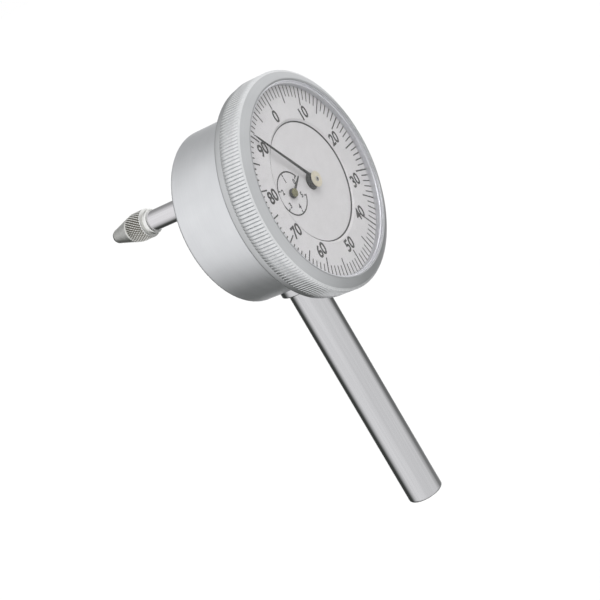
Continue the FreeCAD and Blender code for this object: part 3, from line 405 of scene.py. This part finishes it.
# Each finish: its darker and its lighter colour, its roughness, then its groove or its grain
finishes = {
    "case_satin": turned_metal(
        "case_satin", (0.72, 0.73, 0.75), (0.82, 0.83, 0.85), 0.44, 0.10),
    "cover_satin": turned_metal(
        "cover_satin", (0.60, 0.61, 0.62), (0.71, 0.72, 0.73), 0.42, 0.22),
    "bezel_satin": turned_metal(
        "bezel_satin", (0.53, 0.54, 0.55), (0.61, 0.62, 0.63), 0.42, 0.10),
    "stem_steel": plain_metal(
        "stem_steel", (0.57, 0.57, 0.585), (0.63, 0.63, 0.645), 0.12, ALONG_STEM),
    "bush_steel": plain_metal(
        "bush_steel", (0.48, 0.48, 0.48), (0.58, 0.58, 0.58), 0.22, ALONG_PLUNGER),
    "spindle_steel": plain_metal(
        "spindle_steel", (0.67, 0.66, 0.68), (0.74, 0.73, 0.75), 0.10, ALONG_PLUNGER),
    "contact_steel": plain_metal(
        "contact_steel", (0.60, 0.60, 0.58), (0.72, 0.72, 0.70), 0.38),
    "ball_steel": plain_metal("ball_steel", (0.60, 0.60, 0.60), (0.70, 0.70, 0.70), 0.25),
    "screw_steel": plain_metal("screw_steel", (0.45, 0.46, 0.47), (0.56, 0.57, 0.58), 0.25),
    "plate_brass": plain_metal("plate_brass", (0.58, 0.44, 0.20), (0.68, 0.53, 0.26), 0.32),
    "arbor_steel": plain_metal(
        "arbor_steel", (0.46, 0.47, 0.48), (0.58, 0.59, 0.60), 0.18, ACROSS_CASE),
    "wheel_brass": plain_metal("wheel_brass", (0.62, 0.47, 0.20), (0.74, 0.57, 0.27), 0.22),
    "spring_steel": plain_metal("spring_steel", (0.30, 0.31, 0.33), (0.42, 0.43, 0.45), 0.28),
    "dial_face": painted("dial_face", (0.525, 0.521, 0.526), (0.557, 0.553, 0.558), 0.45),
    "hand_black": painted(
        "hand_black", (0.006, 0.007, 0.006), (0.012, 0.013, 0.011), 0.5, gloss=0.2),
    "cap_brass": plain_metal("cap_brass", (0.62, 0.58, 0.46), (0.70, 0.66, 0.53), 0.45),
    "crystal_clear": clear_crystal(),
    "ring_steel": plain_metal("ring_steel", (0.66, 0.67, 0.70), (0.75, 0.76, 0.79), 0.35),
}
knurl_satin = plain_metal("knurl_satin", (0.73, 0.74, 0.75), (0.82, 0.83, 0.84), 0.40)
ink = painted(
    "dial_ink", (0.012, 0.012, 0.011), (0.020, 0.020, 0.018), 0.6, 3000.0, gloss=0.2)
# painted shade: the dark brown of the pit in the hand's cap
pit_shade_brown = painted(
    "pit_shade_brown", (0.030, 0.020, 0.008), (0.050, 0.034, 0.014), 0.6, gloss=0.1)
# its first colour, a dark brown, is painted shade in the knurl's grooves
knurled_steel_painted_shade = knurled_metal(
    "knurled_steel_painted_shade", (0.09, 0.08, 0.05), (0.80, 0.80, 0.78), (0.93, 0.93, 0.91), 0.32)
olive_brass = plain_metal("olive_brass", (0.15, 0.145, 0.07), (0.24, 0.23, 0.12), 0.4)


def joined_and_smooth():
    """A modifier's node group for the CAD nodes that stay: it joins their loose triangles and
    shades them smooth, except over edges sharper than the limit."""
    group = bpy.data.node_groups.new("joined_and_smooth", "GeometryNodeTree")
    group.interface.new_socket("Geometry", in_out="INPUT", socket_type="NodeSocketGeometry")
    group.interface.new_socket("Geometry", in_out="OUTPUT", socket_type="NodeSocketGeometry")
    sharp_edge = math.radians(28)
    nodes = group.nodes
    links = group.links
    entry = nodes.new("NodeGroupInput")
    leave = nodes.new("NodeGroupOutput")
    merge = nodes.new("GeometryNodeMergeByDistance")
    merge.inputs["Distance"].default_value = 1e-7
    smooth = nodes.new("GeometryNodeSetShadeSmooth")
    smooth.inputs["Shade Smooth"].default_value = True
    edge_angle = nodes.new("GeometryNodeInputMeshEdgeAngle")
    over = nodes.new("FunctionNodeCompare")
    over.data_type = "FLOAT"
    over.operation = "GREATER_THAN"
    over.inputs["B"].default_value = sharp_edge
    sharp = nodes.new("GeometryNodeSetShadeSmooth")
    sharp.domain = "EDGE"
    sharp.inputs["Shade Smooth"].default_value = False
    links.new(entry.outputs[0], merge.inputs["Geometry"])
    links.new(merge.outputs["Geometry"], smooth.inputs["Geometry"])
    links.new(smooth.outputs["Geometry"], sharp.inputs["Geometry"])
    links.new(edge_angle.outputs["Unsigned Angle"], over.inputs["A"])
    links.new(over.outputs["Result"], sharp.inputs["Selection"])
    links.new(sharp.outputs["Geometry"], leave.inputs[0])
    return group


def dress_cad_nodes():
    """Every CAD node gets the finish of its slot and is shaded smooth."""
    group = joined_and_smooth()
    for part in frame["record"]["subparts"]:
        node = frame["nodes"][part["node"]]
        node.data.materials.clear()
        node.data.materials.append(finishes[part["material_slot"]])
        modifier = node.modifiers.new("joined_and_smooth", "NODES")
        modifier.node_group = group


def bezel_ring():
    """The bezel: a closed profile carried round the dial's axis."""
    shoulder = bezel_radius - 0.3
    bore = flange_radius + 0.07
    lip = case_radius + 0.1
    lip_inside = bezel_back - 1.15
    bevel_middle_front = bezel_front + bevel_slope * (bevel_middle - crest_radius)
    profile = rounded([
        (sight_radius, 0, 0),
        (sight_radius, bezel_lip_edge, 0.14),
        (crest_radius, bezel_front, 0.16),
        (bevel_middle, bevel_middle_front - bevel_bulge, 0.5),
        (valley_radius, band_front, 0.03),
        (band_floor, band_front + 0.05, 0),
        (band_floor, ridge_back - 0.04, 0),
        (shoulder, ridge_back - 0.04, 0.08),
        (shoulder, bezel_back, 0.45),
        (lip, bezel_back, 0.12),
        (lip, lip_inside, 0),
        (bore, lip_inside, 0),
        (bore, 0, 0),
    ], 7)
    mesh = turned("bezel_ring", profile, around=320, closed=True)
    return finished(mesh, "bezel_body", finishes["bezel_satin"], ["bezel"])


def bezel_knurl():
    """The knurled band: the radius swings between its valley and its crest once a ridge, as a
    clipped power of the size of a sine, with narrow valleys and flat crests. It stays below the
    bevel's cone, so the ridges run out on the bevel, and it sinks to the valley at the back."""
    end_round = 0.16
    valley_share = 0.4

    def ridges(angle, depth, radius):
        swing = np.clip(1.6 * np.abs(np.sin(ridge_count * angle / 2)) ** 0.8, 0, 1)
        to_end = (ridge_back - depth) / end_round
        rise = np.sqrt(1 - (1 - np.clip(to_end, 0, 1)) ** 2)
        crest = radius + ridge_depth * (valley_share + (1 - valley_share) * swing) * rise
        cone = crest_radius + (depth - bezel_front) / bevel_slope
        below_cone = np.minimum(crest, np.maximum(cone, radius))
        return np.where(radius > band_floor + 0.01, below_cone, radius)

    depths = np.concatenate([
        np.linspace(band_front, ridge_front + 0.02, 7),
        np.linspace(ridge_front, ridge_back - end_round, 4)[1:],
        ridge_back - end_round * np.array([0.35, 0.1, 0]),
    ])
    outside = np.stack([np.full(len(depths), valley_radius), depths], axis=-1)
    inside = np.array([(band_floor, ridge_back), (band_floor, band_front)])
    profile = np.concatenate([outside, inside])
    mesh = turned("bezel_knurl", profile, around=ridge_count * 10, closed=True, relief=ridges)
    return finished(mesh, "bezel_body", knurl_satin, sharp_angle=50)


def crystal():
    """The clear crystal: a thin pane between two shallow domes that both fall by the same rise
    towards the rim, which is let into the bezel's wall."""
    rim_front = crystal_rim_back - crystal_rim_thickness
    rise = rim_front - crystal_front
    edge = crystal_radius + 0.09
    out = np.linspace(0, 1, 24)
    front = np.stack([out * edge, rim_front - rise * (1 - out ** 2)], axis=-1)
    back = front + (0, pane_thickness)
    profile = np.concatenate([back, front[::-1]])
    mesh = turned("crystal_dome", profile, around=256)
    return finished(mesh, "bezel_body", finishes["crystal_clear"], ["crystal"])


def tension_ring():
    """The ring that the crystal is seated on: a small closed profile with a step behind the
    crystal's rim and rounded edges."""
    inner = crystal_radius - tension_ring_width
    step = inner + 0.2
    top = crystal_rim_back - crystal_rim_thickness + pane_thickness + 0.05
    profile = rounded([
        (inner, 0, 0.03),
        (inner, crystal_rim_back, 0.1),
        (step, crystal_rim_back, 0.05),
        (step, top, 0),
        (sight_radius, top, 0),
        (sight_radius, 0, 0),
    ], 5)
    mesh = turned("crystal_tension_ring", profile, around=256, closed=True)
    return finished(mesh, "bezel_body", finishes["ring_steel"], ["tension_ring"])


def hand_cap():
    """The long hand's cap: a disc with a rounded edge and a low dome round the arbor's end."""
    radius = half_width("hand_cap")
    front, back = (depth - DIAL_FACE for depth in depth_range("hand_cap"))
    dome_radius = 0.75
    profile = rounded([
        (cap_bore, back, 0),
        (cap_bore, front + 0.02, 0.02),
        (dome_radius, front, 0.1),
        (radius, front + 0.01, 0.07),
        (radius, back, 0),
    ], 5)
    mesh = turned("hand_cap_disc", profile, around=96, closed=True)
    return finished(mesh, "centre_body", finishes["cap_brass"], ["hand_cap"])


def cap_pit():
    """Painted shade in the pit in the cap's middle: a low closed dark brown disc with a chamfer
    over the arbor's end, standing for the shade in the cap's bore."""
    chamfer = 0.06
    front = depth_range("centre_arbor")[0] - DIAL_FACE - 0.01
    back = front + 0.12
    profile = np.array([
        (0, front),
        (cap_bore - chamfer, front),
        (cap_bore, front + 0.04),
        (cap_bore, back),
        (0, back),
    ])
    mesh = turned("hand_cap_pit", profile, around=48)
    return finished(mesh, "centre_body", pit_shade_brown)


def long_hand():
    """The long hand: a blade whose half width falls evenly from the boss to its rounded tip and
    whose front is a low ridge, over a round eye about the arbor."""
    front, back = (depth - DIAL_FACE for depth in depth_range("main_hand"))
    turn = math.pi / 2 - 2 * math.pi * hand_division / 100
    reach = (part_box("main_hand")[1].z / MM - AXIS_HEIGHT) / math.sin(turn)
    blade_start = 0.5
    tip_round = 0.03
    slices = 12
    share = np.linspace(0, 1, slices)[:, None]
    half = (hand_root_width + (hand_tip_width - hand_root_width) * share) / 2
    half = half * np.sqrt(np.clip((1.001 - share) / tip_round, 0, 1))
    along = blade_start + (reach - blade_start) * share
    section_side = np.array([-1, -0.5, 0, 0.5, 1, 0])[None, :]
    section_depth = np.array([0.5, 0.08, 0, 0.08, 0.5, 1])[None, :]
    corners = section_side.size
    side = half * section_side
    depth = front + (back - front) * section_depth
    points = row_points(along * math.cos(turn) - side * math.sin(turn), depth,
                        along * math.sin(turn) + side * math.cos(turn))
    blade = grid_mesh("long_hand_blade", points, False)
    eye = turned("long_hand_eye", np.array([
        (hand_bore, front + 0.005),
        (hand_eye_radius - 0.05, front + 0.005),
        (hand_eye_radius, front + 0.05),
        (hand_eye_radius, back),
        (hand_bore, back),
    ]), around=96, closed=True)
    shape = bmesh.new()
    shape.from_mesh(blade)
    shape.verts.ensure_lookup_table()
    for end in (corners * (slices - 1), 0):
        shape.faces.new([shape.verts[end + number] for number in range(corners)])
    shape.from_mesh(eye)
    mesh = bpy.data.meshes.new("long_hand")
    shape.to_mesh(mesh)
    shape.free()
    return finished(mesh, "centre_body", finishes["hand_black"], ["main_hand"])


def hand_boss():
    """The long hand's dark boss: a drum with a groove round its middle and rounded edges."""
    front, back = (depth - DIAL_FACE for depth in depth_range("hand_boss"))
    middle = (front + back) / 2
    groove = 0.12
    profile = rounded([
        (hand_bore, back, 0),
        (hand_bore, front, 0),
        (hand_boss_radius, front, 0.06),
        (hand_boss_radius, middle - groove, 0.03),
        (hand_boss_radius - groove, middle, 0.05),
        (hand_boss_radius, middle + groove, 0.03),
        (hand_boss_radius, back, 0.06),
    ], 5)
    mesh = turned("hand_boss_drum", profile, around=96, closed=True)
    return finished(mesh, "centre_body", finishes["hand_black"], ["hand_boss"])


def counter_cap():
    """The short hand's cap: a drum with a rounded edge in front of the hand."""
    hand_front = depth_range("counter_hand")[0] - DIAL_FACE
    front = hand_front - counter_cap_height
    profile = rounded([
        (0, front, 0),
        (counter_cap_radius, front, 0.08),
        (counter_cap_radius, hand_front, 0),
        (0, hand_front, 0),
    ], 5)
    mesh = turned("counter_hand_cap", profile, COUNTER_X, COUNTER_HEIGHT, around=64)
    return finished(mesh, "counter_body", olive_brass)


def contact_point():
    """The contact point: a turned profile whose grip has two families of slanting grooves, one
    deeper than the other: the radius falls where the phase of a family is near its valley. The
    attribute "groove" is the share of the deeper groove's depth that is cut at a point, by which
    the knurled material paints shade into the grooves."""
    grip = contact_grip_radius
    seat = contact_ball_middle + contact_ball_sink
    collar_end = plunger_back + 0.95
    knurl_start = plunger_back + 1.35
    knurl_end = plunger_back + 5.0
    slope_start = plunger_back + 3.75
    deep_groove = 0.2
    light_groove = 0.12
    grooves = 34
    lead = math.tan(math.radians(30)) / grip
    collar_radius = 2.2
    waist_radius = 1.9
    shank_radius = 1.23
    shank_front = plunger_back - 4.5

    collar = rounded([
        (0.3, plunger_back, 0),
        (collar_radius, plunger_back, 0.3),
        (collar_radius, collar_end - 0.1, 0.12),
        (waist_radius, collar_end, 0),
    ], 6)
    grip_line = rounded([
        (waist_radius, collar_end, 0),
        (grip, collar_end + 0.15, 0.14),
        (grip, slope_start, 0.3),
        (contact_seat_radius, seat, 0),
    ], 9)
    lengths = np.linspace(knurl_start, seat, 110)
    straight = np.interp(lengths, grip_line[:, 1], grip_line[:, 0])
    head = grip_line[grip_line[:, 1] < knurl_start]
    body = np.stack([straight, lengths], axis=-1)
    shank = np.array([(0, shank_front), (shank_radius, shank_front), (shank_radius, plunger_back)])
    profile = np.concatenate([shank, collar, head, body, [(0, seat)]])

    def groove(phase):
        return np.clip(0.35 - np.cos(phase), 0, 1)

    def cross_knurl(angle, depth, radius):
        twist = lead * (depth - knurl_start)
        cut = np.maximum(deep_groove * groove(grooves * (angle + twist)),
                         light_groove * groove(grooves * (angle - twist)))
        inside = np.clip((depth - knurl_start + 0.15) / 0.15, 0, 1)
        inside = inside * np.clip((knurl_end - depth) / 0.3, 0, 1)
        return radius - cut * inside

    mesh = turned("contact_point_knurled", profile, 0, PLUNGER_HEIGHT, around=grooves * 9,
                  relief=cross_knurl)
    # the share of the cut at each point, which the material turns into painted shade in the
    # grooves
    place = np.zeros(len(mesh.vertices) * 3)
    mesh.vertices.foreach_get("co", place)
    x, depth, height = place.reshape(-1, 3).T / MM
    depth = depth - DIAL_FACE
    cut = np.interp(depth, lengths, straight) - np.hypot(x, height - PLUNGER_HEIGHT - AXIS_HEIGHT)
    cut = np.where(depth > knurl_start, np.clip(cut / deep_groove, 0, 1), 0)
    mesh.attributes.new("groove", "FLOAT", "POINT").data.foreach_set("value", cut)
    return finished(mesh, "plunger_body", knurled_steel_painted_shade, ["contact_point"],
                    sharp_angle=40)


def contact_ball():
    """The ball end: the part of a sphere that stands out of the cone, closed by a flat."""
    flat = contact_ball_sink - 0.1
    turn = np.linspace(math.acos(flat / contact_ball_radius), 0, 24)
    arc = contact_ball_radius * np.stack([np.sin(turn), np.cos(turn)], axis=-1)
    profile = np.concatenate([[(0, flat)], arc]) + (0, contact_ball_middle)
    mesh = turned("contact_ball_end", profile, 0, PLUNGER_HEIGHT, around=96)
    return finished(mesh, "plunger_body", finishes["ball_steel"], ["contact_ball"])


# Dial printing

def bars(radius_start, radius_end, width, turns, depth, x=0.0, height=0.0):
    """Corners of flat printed bars that run outward at the given turns (clockwise from the top):
    a bar is a box between two radii, as wide as its stroke and as thick as the ink."""
    turns = np.atleast_1d(turns)[:, None]
    radius_start = np.broadcast_to(radius_start, turns[:, 0].shape)[:, None]
    radius_end = np.broadcast_to(radius_end, turns[:, 0].shape)[:, None]
    width = np.broadcast_to(width, turns[:, 0].shape)[:, None]
    along = np.array([0, 1, 1, 0, 0, 1, 1, 0])[None, :]
    across = np.array([-1, -1, 1, 1, -1, -1, 1, 1])[None, :] / 2
    layer = np.array([0, 0, 0, 0, 1, 1, 1, 1])[None, :]
    radius = radius_start + (radius_end - radius_start) * along
    angle = math.pi / 2 - 2 * math.pi * turns
    out_x, out_z = np.cos(angle), np.sin(angle)
    bar_x = x + radius * out_x - across * width * out_z
    bar_z = height + radius * out_z + across * width * out_x
    bar_depth = depth - ink_thickness * layer + 0 * bar_x
    corners = row_points(bar_x, bar_depth, bar_z).reshape(-1, 3)
    box = np.array([
        (0, 1, 2, 3), (7, 6, 5, 4), (0, 4, 5, 1), (1, 5, 6, 2), (2, 6, 7, 3), (3, 7, 4, 0),
    ])
    faces = (box[None] + 8 * np.arange(len(turns))[:, None, None]).reshape(-1, 4)
    return corners, faces


def numeral(text, size, stroke, x, height, depth):
    """A printed number: a text curve is made bolder by its stroke and turned into a mesh, which
    is then centred, narrowed and stood upright at its place on the dial."""
    digit_share = 0.73
    curve = bpy.data.curves.new("numeral", "FONT")
    curve.body = text
    curve.size = size * MM / digit_share
    curve.align_x = "CENTER"
    curve.align_y = "CENTER"
    curve.extrude = ink_thickness * MM / 2
    curve.offset = stroke * MM
    curve.resolution_u = 6
    holder = bpy.data.objects.new("numeral", curve)
    bpy.context.scene.collection.objects.link(holder)
    bpy.context.view_layer.update()
    drawn = holder.evaluated_get(bpy.context.evaluated_depsgraph_get())
    mesh = bpy.data.meshes.new_from_object(drawn)
    corners = np.zeros(len(mesh.vertices) * 3)
    mesh.vertices.foreach_get("co", corners)
    corners = corners.reshape(-1, 3)
    flat_x, flat_y = corners[:, 0], corners[:, 1]
    flat_x = (flat_x - (flat_x.min() + flat_x.max()) / 2) * numeral_narrowing
    flat_y = flat_y - (flat_y.min() + flat_y.max()) / 2
    stood = np.stack([
        flat_x + x * MM,
        -corners[:, 2] + (DIAL_FACE + depth - ink_thickness / 2) * MM,
        flat_y + (height + AXIS_HEIGHT) * MM,
    ], axis=-1)
    mesh.vertices.foreach_set("co", stood.ravel())
    bpy.data.objects.remove(holder)
    bpy.data.curves.remove(curve)
    return mesh


def print_piece(name, body, bar_sets, numerals):
    """One piece of ink from sets of bars and numeral meshes."""
    shape = bmesh.new()
    for corners, faces in bar_sets:
        mesh = bpy.data.meshes.new("bars")
        mesh.from_pydata(corners.tolist(), [], faces.tolist())
        shape.from_mesh(mesh)
        bpy.data.meshes.remove(mesh)
    for mesh in numerals:
        shape.from_mesh(mesh)
        bpy.data.meshes.remove(mesh)
    mesh = bpy.data.meshes.new(name)
    shape.to_mesh(mesh)
    shape.free()
    piece = bpy.data.objects.new(name, mesh)
    bpy.context.scene.collection.objects.link(piece)
    mesh.materials.append(ink)
    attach(piece, body)
    return piece


def ring_print():
    """The graduated ring's hundred divisions and its ten numbers."""
    division = np.arange(100)
    tenth = division % 10 == 0
    fifth = (division % 5 == 0) & ~tenth
    length = np.where(tenth, 3.15, np.where(fifth, 3.05, 1.95))
    width = np.where(tenth, 0.25, np.where(fifth, 0.24, 0.2))
    ticks = bars(tick_end_radius - length, tick_end_radius, width, division / 100, 0.0)
    numbers = []
    for ten, (x, height) in enumerate(numeral_places):
        numbers.append(numeral(str(10 * ten), numeral_height, numeral_stroke, x, height, 0.0))
    return print_piece("ring_print", "bezel_body", [ticks], numbers)


def counter_print():
    """The revolution counter's open circle, with six divisions and six numbers that count the
    other way. The circle runs round the left from its first division to its last."""
    dashes = 100
    degrees = np.linspace(counter_opening, 360 - counter_opening, dashes)
    circle_length = 2 * math.pi * counter_circle_radius * (360 - 2 * counter_opening) / 360
    dash_length = circle_length / dashes * 1.04
    circle = bars(counter_circle_radius - counter_line_width / 2,
                  counter_circle_radius + counter_line_width / 2, dash_length,
                  0.25 - degrees / 360, dial_step, counter_middle_x, COUNTER_HEIGHT)
    places = 30 + 60 * np.arange(6)
    ticks = bars(counter_circle_radius - counter_tick_length, counter_circle_radius,
                 counter_tick_width, 0.25 - places / 360, dial_step, counter_middle_x,
                 COUNTER_HEIGHT)
    numbers = []
    for count, angle in enumerate(np.radians(places)):
        x = counter_middle_x + counter_numeral_radius * math.cos(angle)
        height = COUNTER_HEIGHT + counter_numeral_radius * math.sin(angle)
        numbers.append(numeral(str(count), counter_numeral_height, counter_numeral_stroke,
                               x, height, dial_step))
    return print_piece("counter_print", "case_body", [circle, ticks], numbers)


def graduated_ring():
    """The graduated ring: a flat closed profile with a chamfer down to its inner wall."""
    profile = np.array([
        (inner_dial_radius, dial_thickness),
        (inner_dial_radius, dial_step - ring_wall),
        (inner_dial_radius + ring_chamfer, 0),
        (flange_radius, 0),
        (flange_radius, dial_thickness),
    ])
    mesh = turned("graduated_ring", profile, around=320, closed=True)
    return finished(mesh, "bezel_body", finishes["dial_face"], ["dial_ring"],
                    sharp_angle=20)


def ring_wall_ink():
    """Painted shade: a dark line in the ink's colour down the foot of the ring's chamfer and its
    inner wall, where the step down to the inner dial is in shade: a thin closed fillet."""
    shade_width = 0.07
    cover = 0.006
    foot_width = 0.14
    wall_top = dial_step - ring_wall
    start = wall_top - shade_width * wall_top / ring_chamfer
    floor = dial_step - 0.004
    profile = np.array([
        (inner_dial_radius + shade_width, start - cover),
        (inner_dial_radius - cover, wall_top - cover),
        (inner_dial_radius - foot_width, floor),
        (inner_dial_radius + 0.05, floor),
        (inner_dial_radius + shade_width, start + cover),
    ])
    mesh = turned("ring_wall_ink", profile, around=256, closed=True)
    # the ink's colour stands here for shade at the step, not for print
    return finished(mesh, "bezel_body", ink)


def hand_hole_washer():
    """Painted shade in the hand's hole in the inner dial: a flat closed dark ring that hides the
    plate behind the hole and stands for the shade inside it.
    """
    bore = 0.62
    front = dial_step - 0.003
    back = front + 0.2
    profile = np.array([
        (bore, front),
        (hand_hole_radius, front),
        (hand_hole_radius, back),
        (bore, back),
    ])
    mesh = turned("hand_hole_washer", profile, around=64, closed=True)
    # black here is painted shade in the hole, not a real part
    return finished(mesh, "case_body", finishes["hand_black"])


# Camera, lights and room

VIEW_PLACE = Vector((-229.876, -164.730, 63.238)) * MM
VIEW_AIM = Vector((0.0, 2.265, -2.002)) * MM
VIEW_ROLL = math.radians(30.554)


def view_directions():
    """Forward, right and up of the camera: level axes turned about the line of sight by the
    roll."""
    forward = (VIEW_AIM - VIEW_PLACE).normalized()
    level_right = forward.cross(Vector((0, 0, 1))).normalized()
    level_up = level_right.cross(forward)
    up = math.cos(VIEW_ROLL) * level_up + math.sin(VIEW_ROLL) * level_right
    return forward, forward.cross(up), up


def camera():
    """The camera at the photograph's viewing angle."""
    forward, right, up = view_directions()
    data = bpy.data.cameras.new("camera")
    data.lens = 104.98
    data.sensor_width = 36
    data.clip_start = 0.01
    data.clip_end = 50
    holder = bpy.data.objects.new("camera", data)
    turn = Matrix((right, up, -forward)).transposed().to_4x4()
    holder.matrix_world = Matrix.Translation(VIEW_PLACE) @ turn
    bpy.context.scene.collection.objects.link(holder)
    bpy.context.scene.camera = holder


def sun(name, towards, strength, spread_angle):
    """A very soft distant lamp that shines from a direction. Metal mirrors the room, not it."""
    data = bpy.data.lights.new(name, "SUN")
    data.energy = strength
    data.angle = math.radians(spread_angle)
    holder = bpy.data.objects.new(name, data)
    holder.matrix_world = Vector(towards).to_track_quat("Z", "Y").to_matrix().to_4x4()
    holder.visible_glossy = False
    bpy.context.scene.collection.objects.link(holder)


def smooth_step(value, low, high):
    """0 below low, 1 above high, and a smooth rise between them."""
    share = np.clip((value - low) / (high - low), 0, 1)
    return share * share * (3 - 2 * share)


def surround():
    """The studio's dark wall, which only gloss sees and which gives polished rods their dark
    edges. It is a sphere round the line of sight, open at both poles. Its tone is white within
    14 degrees of that line and beyond 102 degrees, and dark between 30 and 58 degrees, except
    towards the upper right, where the wall has an opening, and the upper left and the right,
    where it is lighter. Behind the camera's right side it is a little greyer than white."""
    forward, right, up = (np.array(way) for way in view_directions())
    wall_distance = 0.6
    opening = math.radians(74)
    upper_left = math.radians(133)
    lower_right = math.radians(-14)
    polar = np.radians(np.linspace(1, 179, 120))[:, None]
    around = np.radians(np.linspace(0, 360, 144, endpoint=False))[None, :]
    ring = smooth_step(polar, math.radians(14), math.radians(30))
    ring = ring * (1 - smooth_step(polar, math.radians(58), math.radians(102)))
    from_opening = np.abs(np.angle(np.exp(1j * (around - opening))))
    closed = smooth_step(from_opening, math.radians(30), math.radians(44))
    left_light = 0.30 * np.clip(np.cos(around - upper_left), 0, 1) ** 2
    right_light = 0.34 * np.clip(np.cos(around - lower_right), 0, 1) ** 6
    tone = 1 - ring * closed * (0.94 - left_light - right_light)
    behind = smooth_step(polar, math.radians(70), math.radians(105))
    behind = behind * (1 - smooth_step(polar, math.radians(150), math.radians(178)))
    tone = tone - 0.1 * behind * smooth_step(np.cos(around), -0.3, 0.7)
    sideways = np.cos(around)[..., None] * right + np.sin(around)[..., None] * up
    way = np.cos(polar)[..., None] * forward + np.sin(polar)[..., None] * sideways
    mesh = grid_mesh("studio_wall", way * wall_distance, False)
    level = mesh.attributes.new("tone", "FLOAT", "POINT")
    level.data.foreach_set("value", tone.ravel())
    wall = bpy.data.objects.new("studio_wall", mesh)
    bpy.context.scene.collection.objects.link(wall)
    material, nodes, links, shader = material_nodes("studio_wall")
    reader = nodes.new("ShaderNodeAttribute")
    reader.attribute_name = "tone"
    mix = nodes.new("ShaderNodeMix")
    mix.data_type = "RGBA"
    mix.inputs["A"].default_value = (0.0, 0.005, 0.0, 1)
    mix.inputs["B"].default_value = (1, 1, 1, 1)
    links.new(reader.outputs["Fac"], mix.inputs["Factor"])
    glow = nodes.new("ShaderNodeEmission")
    links.new(mix.outputs["Result"], glow.inputs["Color"])
    links.new(glow.outputs["Emission"], nodes["Material Output"].inputs["Surface"])
    mesh.materials.append(material)
    wall.visible_camera = False
    wall.visible_diffuse = False
    wall.visible_shadow = False
    wall.visible_transmission = False


def seen_as_background(nodes, links):
    """1 for rays that come from the camera, from gloss or through glass, 0 for the others."""
    path = nodes.new("ShaderNodeLightPath")
    first = nodes.new("ShaderNodeMath")
    first.operation = "MAXIMUM"
    links.new(path.outputs["Is Camera Ray"], first.inputs[0])
    links.new(path.outputs["Is Glossy Ray"], first.inputs[1])
    second = nodes.new("ShaderNodeMath")
    second.operation = "MAXIMUM"
    links.new(first.outputs["Value"], second.inputs[0])
    links.new(path.outputs["Is Transmission Ray"], second.inputs[1])
    return second.outputs["Value"]


def room():
    """A white world, a pale floor below the object and soft lamps."""
    world = bpy.data.worlds.new("studio")
    bpy.context.scene.world = world
    world.use_nodes = True
    nodes = world.node_tree.nodes
    links = world.node_tree.links
    background = nodes["Background"]
    background.inputs["Color"].default_value = (1, 1, 1, 1)
    strength = spread(nodes, links, seen_as_background(nodes, links), 0.65, 1.0)
    links.new(strength, background.inputs["Strength"])

    floor_drop = 0.12
    floor_height = cad_low.z - floor_drop
    reach = 40.0
    mesh = bpy.data.meshes.new("floor")
    corners = [(-reach, -reach, floor_height), (reach, -reach, floor_height),
               (reach, reach, floor_height), (-reach, reach, floor_height)]
    mesh.from_pydata(corners, [], [(0, 1, 2, 3)])
    floor = bpy.data.objects.new("floor", mesh)
    bpy.context.scene.collection.objects.link(floor)
    material, nodes, links, shader = material_nodes("floor_paper")
    shader.inputs["Base Color"].default_value = (0.88, 0.88, 0.88, 1)
    shader.inputs["Roughness"].default_value = 0.9
    shader.inputs["Specular IOR Level"].default_value = 0.0
    shader.inputs["Emission Color"].default_value = (1, 1, 1, 1)
    lift = spread(nodes, links, seen_as_background(nodes, links), 0.0, 0.14)
    links.new(lift, shader.inputs["Emission Strength"])
    mesh.materials.append(material)
    floor.visible_glossy = False

    sun("key_sun", (-0.45, -0.55, 0.70), 1.1, 35)
    sun("fill_sun", (0.30, -0.70, 0.65), 0.6, 45)


dress_cad_nodes()
bezel_ring()
bezel_knurl()
crystal()
tension_ring()
graduated_ring()
hand_cap()
cap_pit()
long_hand()
hand_boss()
counter_cap()
contact_point()
contact_ball()
ring_print()
counter_print()
ring_wall_ink()
hand_hole_washer()
camera()
room()
surround()

bpy.context.scene.view_settings.view_transform = "Standard"
